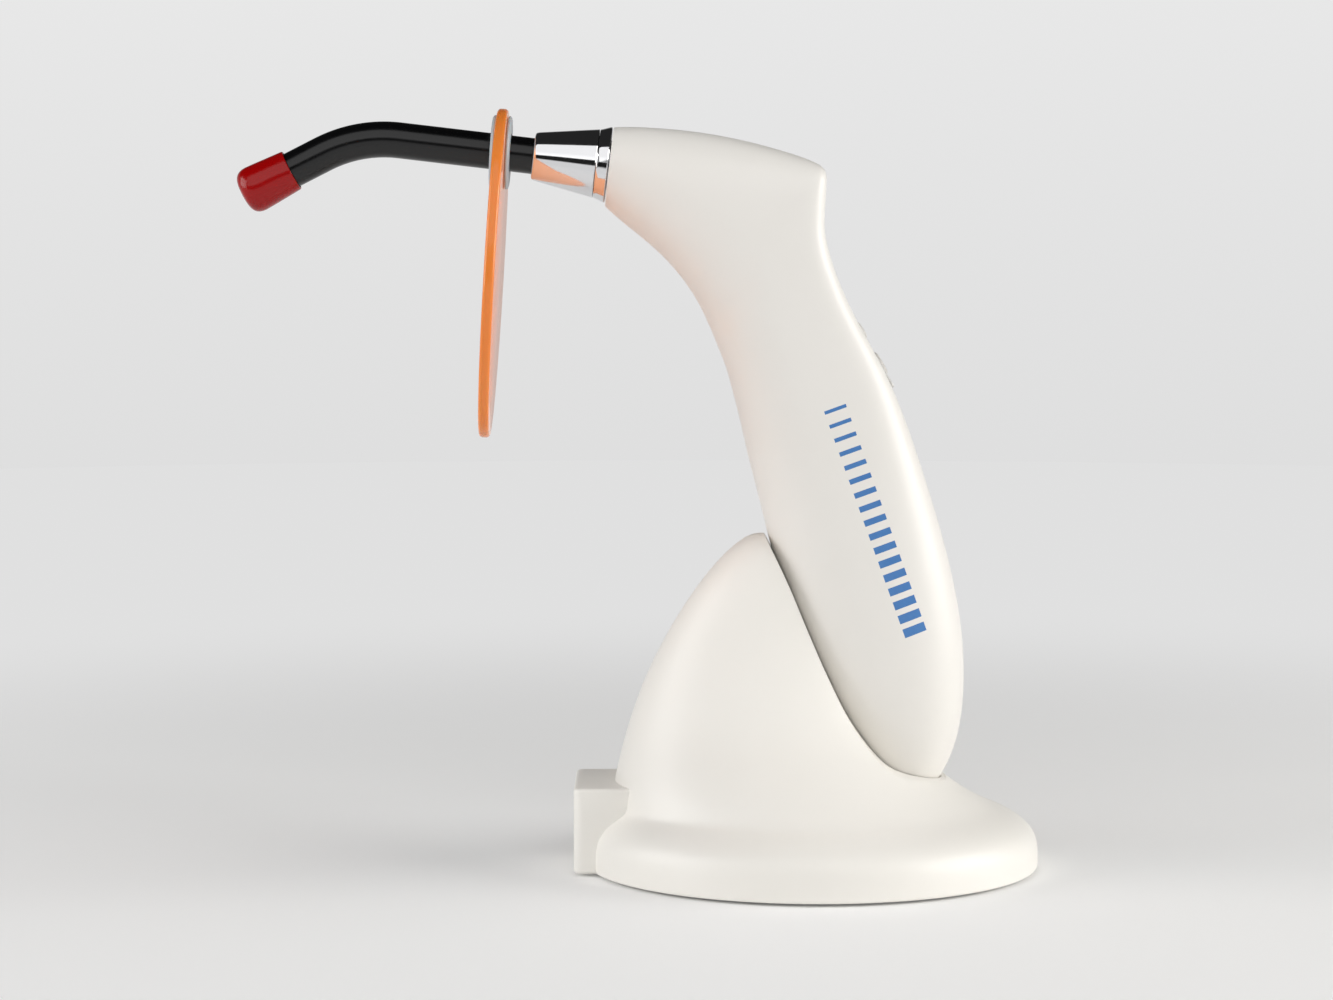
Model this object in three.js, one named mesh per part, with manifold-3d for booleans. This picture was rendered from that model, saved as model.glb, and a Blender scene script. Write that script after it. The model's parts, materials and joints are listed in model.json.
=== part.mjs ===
// Cordless dental curing light resting in its charging stand.
// Millimetres. +Z is up, the nose points to -X, and the origin is the centre of the foot on the table.
import * as THREE from 'three';
import { mergeVertices } from 'three/addons/utils/BufferGeometryUtils.js';
import { ParametricGeometry } from 'three/addons/geometries/ParametricGeometry.js';
import { RoundedBoxGeometry } from 'three/addons/geometries/RoundedBoxGeometry.js';
import Module from 'manifold-3d';

const wasm = await Module();
wasm.setup();

// ---- driving dimensions -------------------------------------------------------------------------
const GAP = 0.3;                  // clearance between pieces that touch
const WALL = 2.2;                 // moulded wall thickness
const ROUND = 28;                 // facets round a turned piece
const FINE = 16;                  // facets round a small piece
const REACH = 200;                // longer than anything in the object
const SIDE_REACH = 70;            // wider to each side than anything in the object

// Foot and stand
const FOOT_R = 57.3;              // outer radius of the foot
const RIM_Z = 0.8;                // height of the foot's lower rim
const PAD = { r: 43, z: [0, 0.9] };
const PLATE = { r: 53.4, z: [1.2, 3.2] };
const BALLAST = { r: 43, z: [3.5, 6.5] };
const PLATE_SCREW_R = 48.4;       // radius of the circle of plate screws
const PLATE_SCREW = { head: { r: 2.8, h: 0.9 }, shank: { r: 1.4, length: 6 } };
const PLATE_HOLE = { r: 1.8, sink: 3.2, post: 3.1 };
const INLET = { x: [-62.5, -40], halfY: 17, z: [RIM_Z, 22.8], edge: 1.1 };
const JACK_Z = 11.5;              // height of the power inlet's axis
const JACK = { body: [11, 9.2, 10], nose: 3.5, bore: 2.8, opening: 3.9, pin: 1.0, pinHole: 1.3 };
const CHARGER = { x: [-12, 34], halfY: 14, z: [7.3, 8.9] };

// Hand-piece
const POCKET_GAP = 0.5;           // clearance all round the grip in its cradle
const GRIP_FLOOR = 20.2;          // flat underside of the grip
const CONTACT = { x: 23.5, y: 3.6, r: 1.8, flange: 2.4, proud: 0.25, hole: 2.1 };
const CHARGE_PIN = { r: 0.9, z: [11.2, 18.4], tip: 0.4, hole: 1.4, carrierHole: 1.2, carrierTop: 14.6 };
const SHELL_SCREWS = [[-8, 172], [-4, 127], [22.5, 28.5]];
const SHELL_SCREW = { head: { r: 2.4, h: 1.5 }, shank: { r: 1.25, length: 15 } };
const SHELL_HOLE = { r: 1.6, well: 2.9, post: 3.3, headY: 7 };
const DISPLAY = { y: [-8, 8], z: [166, 176], x: [-0.1, 1.2], openY: [-6.5, 6.5], openZ: [167, 175] };
const CELL = { r: 9.25, length: 65 };

// Nose: everything on it is turned about one axis
const NOSE_AT = [-53.6, 181.1];   // centre of the casing's front end, x and z
const NOSE_TILT = 6.7;            // degrees that the nose rises towards -X
const RING = { s: [0, 3], r: [9.75, 8.8] };
const CONE = { s: [3.6, 19.3], r: [8.7, 6.05], bore: 4.95, step: 9.6 };
const NOSE_BORE = 6.5;            // bore through the casing's front, the ring and the cone's back

// Light guide
const GUIDE_R = 4.6;              // outside of the black sleeve
const CORE_R = 3.75;              // glass rod inside the sleeve
const FERRULE = { s: [1.8, 10] };
const O_RING = { s: 5.8, r: 5.08, section: 0.33 };
const BEND = { start: 53.7, radius: 34.5, angle: 33.7 };
const GUIDE_TIP = 19.8;           // straight stretch after the bend
const CAP = { length: 14.1, mouth: 5.25, belly: 6.05, bore: 4.85, depth: 11.6, round: 3.4, from: 8.9 };

// Eye shield
const SHIELD = { halfHeight: 42.1, halfWidth: 28.5, thick: 2.75, drop: 31, tilt: 3.5, s: 27.7 };
const GROMMET = { flange: 9.4, neck: 6.6, bore: 4.95, lip: 1.0 };

// Key panel on the sloping back of the casing
const PANEL = { at: [13.6, 134.1], slope: 30.9, length: 22, width: 16, open: [9.6, 7.4], recess: 1.3 };
const KEY = { flange: 0.7, out: [-2.1, -1.4, 0.7, 1.2], round: 0.5 };
const KEYS = [
  { name: 'power_key', along: 4.4, y: 0, r: 3.2 },
  { name: 'mode_key', along: -5.6, y: -3.9, r: 2.4 },
  { name: 'time_key', along: -5.6, y: 3.9, r: 2.4 },
];

// The casing is lofted through these sections. Each row joins a point on the back line to a point on
// the front line: back x, back z, front x, front z, half width, squareness of the back half.
const GRIP_SECTIONS = [
  [-53.1, 190.7, -55.2, 171.2, 9.7, 2.0],
  [-43.0, 190.6, -47.8, 164.8, 11.8, 2.1],
  [-30.2, 189.5, -40.1, 158.6, 14.0, 2.3],
  [-17.5, 187.0, -34.1, 151.6, 15.3, 2.6],
  [-5.1, 183.2, -29.9, 144.6, 15.9, 3.6],
  [0.6, 180.6, -28.4, 141.0, 16.1, 4.6],
  [1.3, 177.5, -27.2, 138.6, 16.2, 5.2],
  [1.3, 164.5, -25.6, 135.0, 16.3, 5.4],
  [4.1, 153.3, -23.6, 129.4, 16.4, 5.2],
  [9.0, 141.6, -22.0, 123.5, 16.5, 4.8],
  [15.7, 130.9, -20.2, 116.9, 16.7, 4.2],
  [20.9, 119.5, -18.1, 106.6, 16.9, 3.5],
  [27.1, 101.6, -14.8, 94.5, 17.1, 2.8],
  [32.7, 83.4, -11.2, 79.0, 17.1, 2.5],
  [36.8, 64.8, -5.4, 61.5, 16.9, 2.4],
  [37.8, 48.9, 1.2, 45.5, 16.2, 2.3],
  [36.7, 36.2, 7.8, 33.5, 14.6, 2.2],
  [33.8, 27.3, 13.4, 25.3, 12.0, 2.2],
  [30.2, 21.4, 18.0, 20.7, 9.4, 2.1],
  [24.4, 17.2, 23.6, 17.2, 0.8, 2.0],
];
const FRONT_SQUARENESS = 2.2;

// The cradle is lofted through level sections: height, left end, right end, half width.
const CRADLE_SECTIONS = [
  [9.0, -54.5, 54.5, 53.0],
  [12.5, -54.0, 51.0, 50.5],
  [15.5, -53.4, 45.5, 46.5],
  [19.0, -52.8, 40.0, 43.0],
  [23.0, -52.1, 33.5, 39.5],
  [30.0, -50.5, 26.0, 33.0],
  [40.0, -47.7, 20.0, 25.5],
  [50.0, -44.1, 15.0, 20.5],
  [60.0, -39.2, 10.0, 17.0],
  [70.0, -33.1, 6.0, 14.3],
  [78.0, -27.3, 2.0, 11.9],
  [83.0, -22.6, -3.0, 9.4],
  [85.6, -19.2, -8.0, 6.0],
  [86.6, -15.0, -13.0, 1.0],
];
// Line of the cradle's open edge, seen from the side, from its top down to the foot: x, z.
const CRADLE_EDGE = [
  [-13.6, 86.5], [-7.8, 74.5], [-2.9, 62.8], [2.2, 51.2],
  [8.0, 39.8], [14.9, 30.6], [21.0, 26.4], [33.0, 23.6],
];

// ---- small tools --------------------------------------------------------------------------------
const radians = THREE.MathUtils.degToRad;
const sum = (a, b, k = 1) => [a[0] + k * b[0], a[1] + k * b[1]];

// A unit direction in the XZ plane: degrees above -X, so 0 points along the nose.
const heading = (degrees) => [-Math.cos(radians(degrees)), Math.sin(radians(degrees))];
const vector = ([x, z], y = 0) => new THREE.Vector3(x, y, z);

function signedVolume(vertices, faces) {
  const [a, b, c] = [new THREE.Vector3(), new THREE.Vector3(), new THREE.Vector3()];
  let total = 0;
  for (let i = 0; i < faces.length; i += 3) {
    a.fromArray(vertices, 3 * faces[i]);
    b.fromArray(vertices, 3 * faces[i + 1]);
    c.fromArray(vertices, 3 * faces[i + 2]);
    total += a.dot(b.cross(c));
  }
  return total;
}

// A closed three.js geometry as a solid that can be joined and cut.
function solid(geometry) {
  geometry.deleteAttribute('normal');
  geometry.deleteAttribute('uv');
  const merged = mergeVertices(geometry, 1e-4);
  const vertices = merged.attributes.position.array;
  const index = merged.index.array;
  const faces = [];
  for (let i = 0; i < index.length; i += 3) {
    const [a, b, c] = [index[i], index[i + 1], index[i + 2]];
    if (a !== b && b !== c && c !== a) faces.push(a, b, c);
  }
  if (signedVolume(vertices, faces) < 0) faces.reverse();
  return new wasm.Manifold(new wasm.Mesh({
    numProp: 3,
    vertProperties: new Float32Array(vertices),
    triVerts: new Uint32Array(faces),
  }));
}

function geometryOf(shape) {
  const mesh = shape.getMesh();
  const geometry = new THREE.BufferGeometry();
  geometry.setAttribute('position', new THREE.BufferAttribute(new Float32Array(mesh.vertProperties), 3));
  geometry.setIndex(new THREE.BufferAttribute(new Uint32Array(mesh.triVerts), 1));
  geometry.computeVertexNormals();
  return geometry;
}

// A turned piece: profile rows are [distance along the axis, radius].
function turned(profile, at, direction, facets = ROUND) {
  const geometry = new THREE.LatheGeometry(profile.map(([s, r]) => new THREE.Vector2(r, s)), facets);
  const turn = new THREE.Quaternion().setFromUnitVectors(new THREE.Vector3(0, 1, 0), direction);
  geometry.applyQuaternion(turn);
  geometry.translate(at.x, at.y, at.z);
  return solid(geometry);
}

// Profile of a plain disc or rod.
const plug = (r, from, to) => [[from, 0], [from, r], [to, r], [to, 0]];
const rod = (r, from, to, at, direction, facets = FINE) => turned(plug(r, from, to), at, direction, facets);
const UP = new THREE.Vector3(0, 0, 1);
const SIDE = new THREE.Vector3(0, 1, 0);
const TO_RIGHT = new THREE.Vector3(1, 0, 0);
const FOOT = new THREE.Vector3();
const atContact = (side, z = 0) => new THREE.Vector3(CONTACT.x, side * CONTACT.y, z);
const upright = (profile, facets = ROUND) => turned(profile, FOOT, UP, facets);

// A block between corners, in the plain frame.
function block(x, y, z) {
  const geometry = new THREE.BoxGeometry(x[1] - x[0], y[1] - y[0], z[1] - z[0]);
  geometry.translate((x[0] + x[1]) / 2, (y[0] + y[1]) / 2, (z[0] + z[1]) / 2);
  return solid(geometry);
}

// A block in a tilted frame: along, across (Y) and out, from an origin, turned about Y.
function tiltedBlock(frame, along, y, out, edge = 0) {
  const size = [along[1] - along[0], y[1] - y[0], out[1] - out[0]];
  const geometry = edge > 0 ? new RoundedBoxGeometry(...size, 2, edge) : new THREE.BoxGeometry(...size);
  geometry.translate((along[0] + along[1]) / 2, (y[0] + y[1]) / 2, (out[0] + out[1]) / 2);
  const basis = new THREE.Matrix4().makeBasis(frame.along, SIDE, frame.out);
  geometry.applyMatrix4(basis.setPosition(frame.at));
  return solid(geometry);
}

// A plate cut from an outline in the XZ plane, reaching halfY to each side of the middle.
function sidePlate(points, halfY) {
  const outline = new THREE.Shape(points.map(([x, z]) => new THREE.Vector2(x, z)));
  const geometry = new THREE.ExtrudeGeometry(outline, { depth: 2 * halfY, bevelEnabled: false });
  geometry.rotateX(Math.PI / 2);
  geometry.translate(0, halfY, 0);
  return solid(geometry);
}

const join = (shapes) => shapes.reduce((whole, shape) => whole.add(shape));

// A smooth path through rows of numbers, read at t from 0 to 1.
function smoothRows(rows) {
  const columns = rows[0].length;
  const curves = [];
  for (let c = 0; c < columns; c += 3) {
    curves.push(new THREE.CatmullRomCurve3(
      rows.map((row) => new THREE.Vector3(row[c], row[c + 1] ?? 0, row[c + 2] ?? 0)), false, 'chordal'));
  }
  return (t) => curves.flatMap((curve) => curve.getPoint(t).toArray());
}

const power = (value, exponent) => Math.sign(value) * Math.abs(value) ** exponent;

// ---- the casing's outer form --------------------------------------------------------------------
const gripRow = smoothRows(GRIP_SECTIONS);

// The grip form, grown outwards by `grow` millimetres. Negative values make its hollow.
function gripForm(grow, rings = 26, facets = 22) {
  const surface = (u, v, target) => {
    const row = gripRow(THREE.MathUtils.clamp((v * (rings + 2) - 1) / rings, 0, 1));
    const closed = v === 0 || v === 1 ? 0 : 1;
    const [back, front] = [vector(row.slice(0, 2)), vector(row.slice(2, 4))];
    const middle = back.clone().add(front).multiplyScalar(0.5);
    const reach = back.clone().sub(front).multiplyScalar(0.5);
    const depth = Math.max(reach.length() + grow, 0.2);
    const width = Math.max(row[4] + grow, 0.2);
    const angle = 2 * Math.PI * u;
    const squareness = Math.cos(angle) > 0 ? row[5] : FRONT_SQUARENESS;
    const out = power(Math.cos(angle), 2 / squareness) * depth * closed;
    const across = power(Math.sin(angle), 2 / squareness) * width * closed;
    target.copy(middle).addScaledVector(reach.normalize(), out);
    target.y = across;
    target.addScaledVector(new THREE.Vector3(0, 0, -1), v > 0.97 ? grow : 0);
  };
  return solid(new ParametricGeometry(surface, facets, rings + 2));
}

// ---- frames -------------------------------------------------------------------------------------
const noseAxis = vector(heading(NOSE_TILT));
const noseFrame = vector(NOSE_AT);
const onNose = (profile, facets = ROUND) => turned(profile, noseFrame, noseAxis, facets);

const panelAlong = [Math.sin(radians(PANEL.slope)), -Math.cos(radians(PANEL.slope))];
const panelFrame = {
  at: vector(PANEL.at),
  along: vector(panelAlong),
  out: vector([Math.cos(radians(PANEL.slope)), Math.sin(radians(PANEL.slope))]),
};

// Inside the grip: `along` runs up the grip and `out` towards its back.
const GRIP_LEAN = 12.4;
const gripUp = [-Math.sin(radians(GRIP_LEAN)), Math.cos(radians(GRIP_LEAN))];
const gripFrame = {
  at: vector([11, 77]),
  along: vector(gripUp),
  out: vector([-gripUp[1], gripUp[0]]).negate(),
};

const shieldAxis = vector(heading(SHIELD.tilt));
const shieldFrame = noseFrame.clone().addScaledVector(noseAxis, SHIELD.s);

// Middle line of the light guide from a distance s on the nose to its tip.
function guideLine(from, to) {
  const along = heading(NOSE_TILT);
  const bendStart = sum(NOSE_AT, along, BEND.start);
  const bendAngle = radians(BEND.angle);
  const tip = heading(NOSE_TILT - BEND.angle);
  const corner = sum(bendStart, along, BEND.radius * Math.tan(bendAngle / 2));
  const bendEnd = sum(corner, tip, BEND.radius * Math.tan(bendAngle / 2));
  const centre = sum(bendStart, [along[1], -along[0]], -BEND.radius);
  const arc = (s) => {
    const swept = heading(NOSE_TILT - THREE.MathUtils.radToDeg((s - BEND.start) / BEND.radius));
    return sum(centre, [swept[1], -swept[0]], BEND.radius);
  };
  const arcLength = BEND.radius * bendAngle;
  const point = (s) => {
    if (s <= BEND.start) return sum(NOSE_AT, along, s);
    if (s <= BEND.start + arcLength) return arc(s);
    return sum(bendEnd, tip, s - BEND.start - arcLength);
  };
  const end = to ?? BEND.start + arcLength + GUIDE_TIP;
  return { point, from, end, tip: vector(tip), bendEnd: vector(bendEnd) };
}

// A bent bar of round section following the guide's middle line.
function guideBar(r, from, to, facets) {
  const line = guideLine(from, to);
  const steps = [line.from, BEND.start];
  const arcLength = BEND.radius * radians(BEND.angle);
  for (let i = 1; i <= 8; i += 1) steps.push(BEND.start + (arcLength * i) / 8);
  steps.push(line.end);
  const path = new THREE.CurvePath();
  for (let i = 1; i < steps.length; i += 1) {
    path.add(new THREE.LineCurve3(vector(line.point(steps[i - 1])), vector(line.point(steps[i]))));
  }
  const circle = new THREE.Shape().absarc(0, 0, r, 0, 2 * Math.PI);
  return solid(new THREE.ExtrudeGeometry(circle, {
    extrudePath: path, steps: 24, bevelEnabled: false, curveSegments: facets,
  }));
}

// ---- finishes -----------------------------------------------------------------------------------
const FINISH = {
  white: { color: 0xf2efe6, roughness: 0.45, metalness: 0 },
  grey: { color: 0xc9c8c4, roughness: 0.6, metalness: 0 },
  black: { color: 0x1c1c1d, roughness: 0.4, metalness: 0 },
  red: { color: 0xa00808, roughness: 0.35, metalness: 0 },
  orange: { color: 0xf07818, roughness: 0.15, metalness: 0 },
  silicone: { color: 0xbdbdbb, roughness: 0.5, metalness: 0 },
  chrome: { color: 0xd8dadc, roughness: 0.08, metalness: 1 },
  steel: { color: 0x8d9094, roughness: 0.35, metalness: 1 },
  aluminium: { color: 0xb9bcc0, roughness: 0.4, metalness: 1 },
  brass: { color: 0xc8a24a, roughness: 0.3, metalness: 1 },
  board: { color: 0x1d5a34, roughness: 0.5, metalness: 0 },
  cell: { color: 0x2d6ca8, roughness: 0.4, metalness: 0 },
  glass: { color: 0xdfe8ea, roughness: 0.1, metalness: 0 },
  rubber: { color: 0x242424, roughness: 0.9, metalness: 0 },
};

const light = new THREE.Group();
light.name = 'curing_light';

function part(name, shape, finish) {
  const mesh = new THREE.Mesh(geometryOf(shape), new THREE.MeshStandardMaterial(FINISH[finish]));
  mesh.name = name;
  light.add(mesh);
}

// ---- stand --------------------------------------------------------------------------------------
// The foot's domed outside. Each row is height and radius.
const footProfile = (inset, low) => [
  [low, 0], [low, FOOT_R - inset], [5 - inset / 2, FOOT_R - inset], [8.2 - inset, 56.5 - inset],
  [10.8 - inset, 54.8 - inset], [12.9 - inset, 52.0 - inset], [14.2 - inset, 48.5 - inset],
  [15.2 - inset, 40 - inset], [15.6 - inset, 0],
];

const cradleRow = smoothRows(CRADLE_SECTIONS);

function cradleForm(inset, rings, facets) {
  const surface = (u, v, target) => {
    const step = THREE.MathUtils.clamp((v * (rings + 2) - 1) / rings, 0, 1);
    const [z, left, right, halfWidth] = cradleRow(step);
    const closed = v === 0 || v === 1 ? 0 : 1;
    const middle = (left + right) / 2;
    const depth = Math.max((right - left) / 2 - inset, 0.3) * closed;
    const width = Math.max(halfWidth - inset, 0.3) * closed;
    const angle = 2 * Math.PI * u;
    target.set(middle + depth * Math.cos(angle), width * Math.sin(angle), z - inset);
  };
  return solid(new ParametricGeometry(surface, facets, rings + 2));
}

// Everything above and to the right of the cradle's open edge, moved left by `shift`.
function openSide(shift) {
  const edge = new THREE.SplineCurve(CRADLE_EDGE.map(([x, z]) => new THREE.Vector2(x - shift, z)));
  const line = edge.getPoints(16).map((p) => [p.x, p.y]);
  const corners = [[REACH, CRADLE_EDGE.at(-1)[1]], [REACH, REACH]];
  return sidePlate([[CRADLE_EDGE[0][0] - shift, REACH], ...line, ...corners], SIDE_REACH);
}

const plateScrewSpots = [45, 135, 225, 315].map((degrees) => new THREE.Vector3(
  PLATE_SCREW_R * Math.cos(radians(degrees)), PLATE_SCREW_R * Math.sin(radians(degrees)), 0));

function baseHousing() {
  const inletBox = new RoundedBoxGeometry(
    INLET.x[1] - INLET.x[0], 2 * INLET.halfY, INLET.z[1] - INLET.z[0], 2, INLET.edge);
  inletBox.translate((INLET.x[0] + INLET.x[1]) / 2, 0, (INLET.z[0] + INLET.z[1]) / 2);
  const outside = upright(footProfile(0, RIM_Z), 48).add(cradleForm(0, 16, 32)).add(solid(inletBox));

  const pocketWall = gripForm(POCKET_GAP + WALL, 18, 16);
  const inletRoom = {
    x: [INLET.x[0] + WALL, -45],
    y: [-INLET.halfY + WALL, INLET.halfY - WALL],
    z: [3.4, INLET.z[1] - WALL],
  };
  const inside = upright(footProfile(WALL + 1, -1), 32)
    .add(cradleForm(WALL + 0.4, 9, 20).subtract(openSide(WALL + 0.8)))
    .add(block(inletRoom.x, inletRoom.y, inletRoom.z))
    .subtract(pocketWall);
  const pocket = gripForm(POCKET_GAP).subtract(block([0, 50], [-30, 30], [0, GRIP_FLOOR - 0.6]));

  let shape = outside.subtract(inside).subtract(pocket).subtract(openSide(0));
  shape = shape.subtract(upright(plug(PLATE.r + GAP, -1, PLATE.z[1] + GAP), 48));
  for (const spot of plateScrewSpots) {
    shape = shape.add(rod(PLATE_HOLE.post, PLATE.z[1] + GAP, 9, spot, UP));
    shape = shape.subtract(rod(PLATE_HOLE.r, 0, 7.6, spot, UP));
  }
  for (const side of [-1, 1]) shape = shape.subtract(rod(CHARGE_PIN.hole, 12, 20, atContact(side), UP));
  const jackAt = new THREE.Vector3(INLET.x[0], 0, JACK_Z);
  return shape.subtract(rod(JACK.opening, -1, 4, jackAt, TO_RIGHT));
}

function bottomPlate() {
  let shape = upright(plug(PLATE.r, ...PLATE.z), 48);
  for (const spot of plateScrewSpots) {
    shape = shape.subtract(rod(PLATE_HOLE.r, 0, 9, spot, UP));
    shape = shape.subtract(rod(PLATE_HOLE.sink, 0, 2.2, spot, UP));
  }
  return shape;
}

// A pan-head screw: the head sits at `at` and the shank runs along `direction`.
function screw(at, direction, head, shank) {
  const slot = new THREE.BoxGeometry(0.7, 0.5, 2.4 * head.r);
  const turn = new THREE.Quaternion().setFromUnitVectors(SIDE, direction);
  slot.applyQuaternion(turn);
  slot.translate(at.x, at.y, at.z);
  return turned([
    [0, 0], [0, head.r - 0.4], [0.4, head.r], [head.h, head.r],
    [head.h, shank.r], [shank.length - 0.8, shank.r], [shank.length, 0],
  ], at, direction, FINE).subtract(solid(slot));
}

function chargerBoard() {
  const board = block(CHARGER.x, [-CHARGER.halfY, CHARGER.halfY], CHARGER.z);
  const top = CHARGER.z[1] - 0.1;
  return join([
    board,
    block([-9, 0], [-9, 1], [top, top + 3.4]),
    block([3, 9], [-6, 2], [top, top + 1.6]),
    block([-8, -2], [4, 11], [top, top + 2.2]),
  ]);
}

function pinCarrier() {
  let shape = block([CONTACT.x - 3.5, CONTACT.x + 3.5], [-8, 8], [CHARGER.z[1] + GAP, CHARGE_PIN.carrierTop]);
  for (const side of [-1, 1]) shape = shape.subtract(rod(CHARGE_PIN.carrierHole, 0, 20, atContact(side), UP));
  return shape;
}

const jackAxis = new THREE.Vector3(0, 0, JACK_Z);

function dcJack() {
  const back = INLET.x[0] + WALL + GAP;
  const [length, width, height] = JACK.body;
  return block([back, back + length], [-width / 2, width / 2], [JACK_Z - height / 2, JACK_Z + height / 2])
    .add(rod(JACK.nose, INLET.x[0] + 0.4, back + 1, jackAxis, TO_RIGHT))
    .subtract(rod(JACK.bore, INLET.x[0] - 1, back + 9, jackAxis, TO_RIGHT))
    .subtract(rod(JACK.pinHole, INLET.x[0], back + 12, jackAxis, TO_RIGHT));
}

function buildStand() {
  part('base_housing', baseHousing(), 'white');
  part('bottom_plate', bottomPlate(), 'grey');
  part('foot_pad', upright(plug(PAD.r, ...PAD.z), 48), 'rubber');
  part('ballast_plate', upright(plug(BALLAST.r, ...BALLAST.z), 40), 'steel');
  plateScrewSpots.forEach((spot, i) => {
    const at = spot.clone().setZ(PLATE.z[0]);
    part(`plate_screw_${i + 1}`, screw(at, UP, PLATE_SCREW.head, PLATE_SCREW.shank), 'steel');
  });
  part('charger_board', chargerBoard(), 'board');
  part('pin_carrier', pinCarrier(), 'black');
  const { r, tip, z: [low, high] } = CHARGE_PIN;
  [-1, 1].forEach((side, i) => {
    part(`charge_pin_${i + 1}`, turned([
      [low, 0], [low, r], [high - tip, r], [high, r - tip], [high, 0],
    ], atContact(side), UP, 12), 'brass');
  });
  part('dc_jack', dcJack(), 'black');
  part('dc_jack_pin', rod(JACK.pin, INLET.x[0] + 2, INLET.x[0] + 15, jackAxis, TO_RIGHT, 12), 'brass');
}

// ---- hand-piece ---------------------------------------------------------------------------------
function casing() {
  const floor = block([0, 50], [-30, 30], [0, GRIP_FLOOR]);
  const outside = gripForm(0).subtract(floor);
  const hollowFloor = block([0, 50], [-30, 30], [0, GRIP_FLOOR + WALL]);
  const hollow = gripForm(-WALL, 18, 14).subtract(hollowFloor).subtract(onNose(plug(30, -WALL, 9)));
  let shape = outside.subtract(hollow).subtract(onNose(plug(30, -GAP, 9)));
  shape = shape.subtract(onNose(plug(NOSE_BORE, -9, 3)));
  for (const spot of SHELL_SCREWS) {
    const post = rod(SHELL_HOLE.post, -SIDE_REACH, SIDE_REACH, vector(spot), SIDE);
    shape = shape.add(post.intersect(gripForm(-WALL / 2)));
    shape = shape.subtract(rod(SHELL_HOLE.r, -10, SHELL_HOLE.headY + 1, vector(spot), SIDE));
    shape = shape.subtract(rod(SHELL_HOLE.well, SHELL_HOLE.headY, 30, vector(spot), SIDE));
  }
  const [long, wide] = [PANEL.length / 2 + GAP, PANEL.width / 2 + GAP];
  const [openLong, openWide] = PANEL.open;
  shape = shape.subtract(tiltedBlock(panelFrame, [-long, long], [-wide, wide], [-PANEL.recess, 4]));
  shape = shape.subtract(tiltedBlock(panelFrame, [-openLong, openLong], [-openWide, openWide], [-6, 2]));
  const loose = ([low, high]) => [low - GAP, high + GAP];
  shape = shape.subtract(block([DISPLAY.x[0] - GAP, 5], loose(DISPLAY.y), loose(DISPLAY.z)));
  shape = shape.subtract(block([-4, 5], DISPLAY.openY, DISPLAY.openZ));
  for (const side of [-1, 1]) shape = shape.subtract(rod(CONTACT.hole, 15, 24, atContact(side), UP));
  return shape;
}

const halfSpace = (side) => (side > 0
  ? block([-REACH, REACH], [GAP / 2, REACH], [-REACH, 2 * REACH])
  : block([-REACH, REACH], [-REACH, -GAP / 2], [-REACH, 2 * REACH]));

function keyPanel() {
  const half = [PANEL.length / 2, PANEL.width / 2];
  let shape = tiltedBlock(panelFrame, [-half[0], half[0]], [-half[1], half[1]], [-1, 0.4]);
  for (const key of KEYS) {
    shape = shape.subtract(onPanel(plug(key.r + GAP, -3, 3), key));
  }
  return shape;
}

function onPanel(profile, key) {
  const at = panelFrame.at.clone().addScaledVector(panelFrame.along, key.along);
  at.y = key.y;
  return turned(profile, at, panelFrame.out, FINE);
}

function keyCap(key) {
  const [bottom, flangeTop, shoulder, top] = KEY.out;
  return onPanel([
    [bottom, 0], [bottom, key.r + KEY.flange], [flangeTop, key.r + KEY.flange], [flangeTop, key.r],
    [shoulder, key.r], [top - 0.1, key.r - KEY.round], [top, 0],
  ], key);
}

function tactSwitch(key) {
  const at = panelFrame.at.clone().addScaledVector(panelFrame.along, key.along);
  at.y = key.y;
  const frame = { ...panelFrame, at };
  const button = onPanel(plug(1.4, -3.6, -2.9), key);
  return tiltedBlock(frame, [-2.6, 2.6], [-2.6, 2.6], [-5.3, -3.4]).add(button);
}

function heatSink() {
  let shape = onNose(plug(7.6, -25, -7.1), FINE);
  for (const from of [-23.6, -18.6, -13.6]) {
    const to = from + 1.6;
    shape = shape.subtract(onNose([[from, 5], [from, 9], [to, 9], [to, 5], [from, 5]], FINE));
  }
  return shape;
}

function cellCradle() {
  const half = CELL.length / 2;
  const ends = half + GAP;
  const tube = rod(11, -ends - 1.5, ends + 1.5, gripFrame.at, gripFrame.along, ROUND);
  const bore = rod(CELL.r + GAP, -ends, ends, gripFrame.at, gripFrame.along, ROUND);
  return tube.subtract(bore).subtract(tiltedBlock(gripFrame, [-60, 60], [-20, 20], [-20, 1]));
}

function mainBoard() {
  const board = tiltedBlock(gripFrame, [-32, 36], [-10, 10], [12.2, 13.6]);
  return join([
    board,
    tiltedBlock(gripFrame, [-6, 4], [-5, 5], [13.5, 15.2]),
    tiltedBlock(gripFrame, [14, 20], [-7, -1], [13.5, 15.6]),
    tiltedBlock(gripFrame, [-22, -16], [-3, 5], [13.5, 16.0]),
  ]);
}

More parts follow.
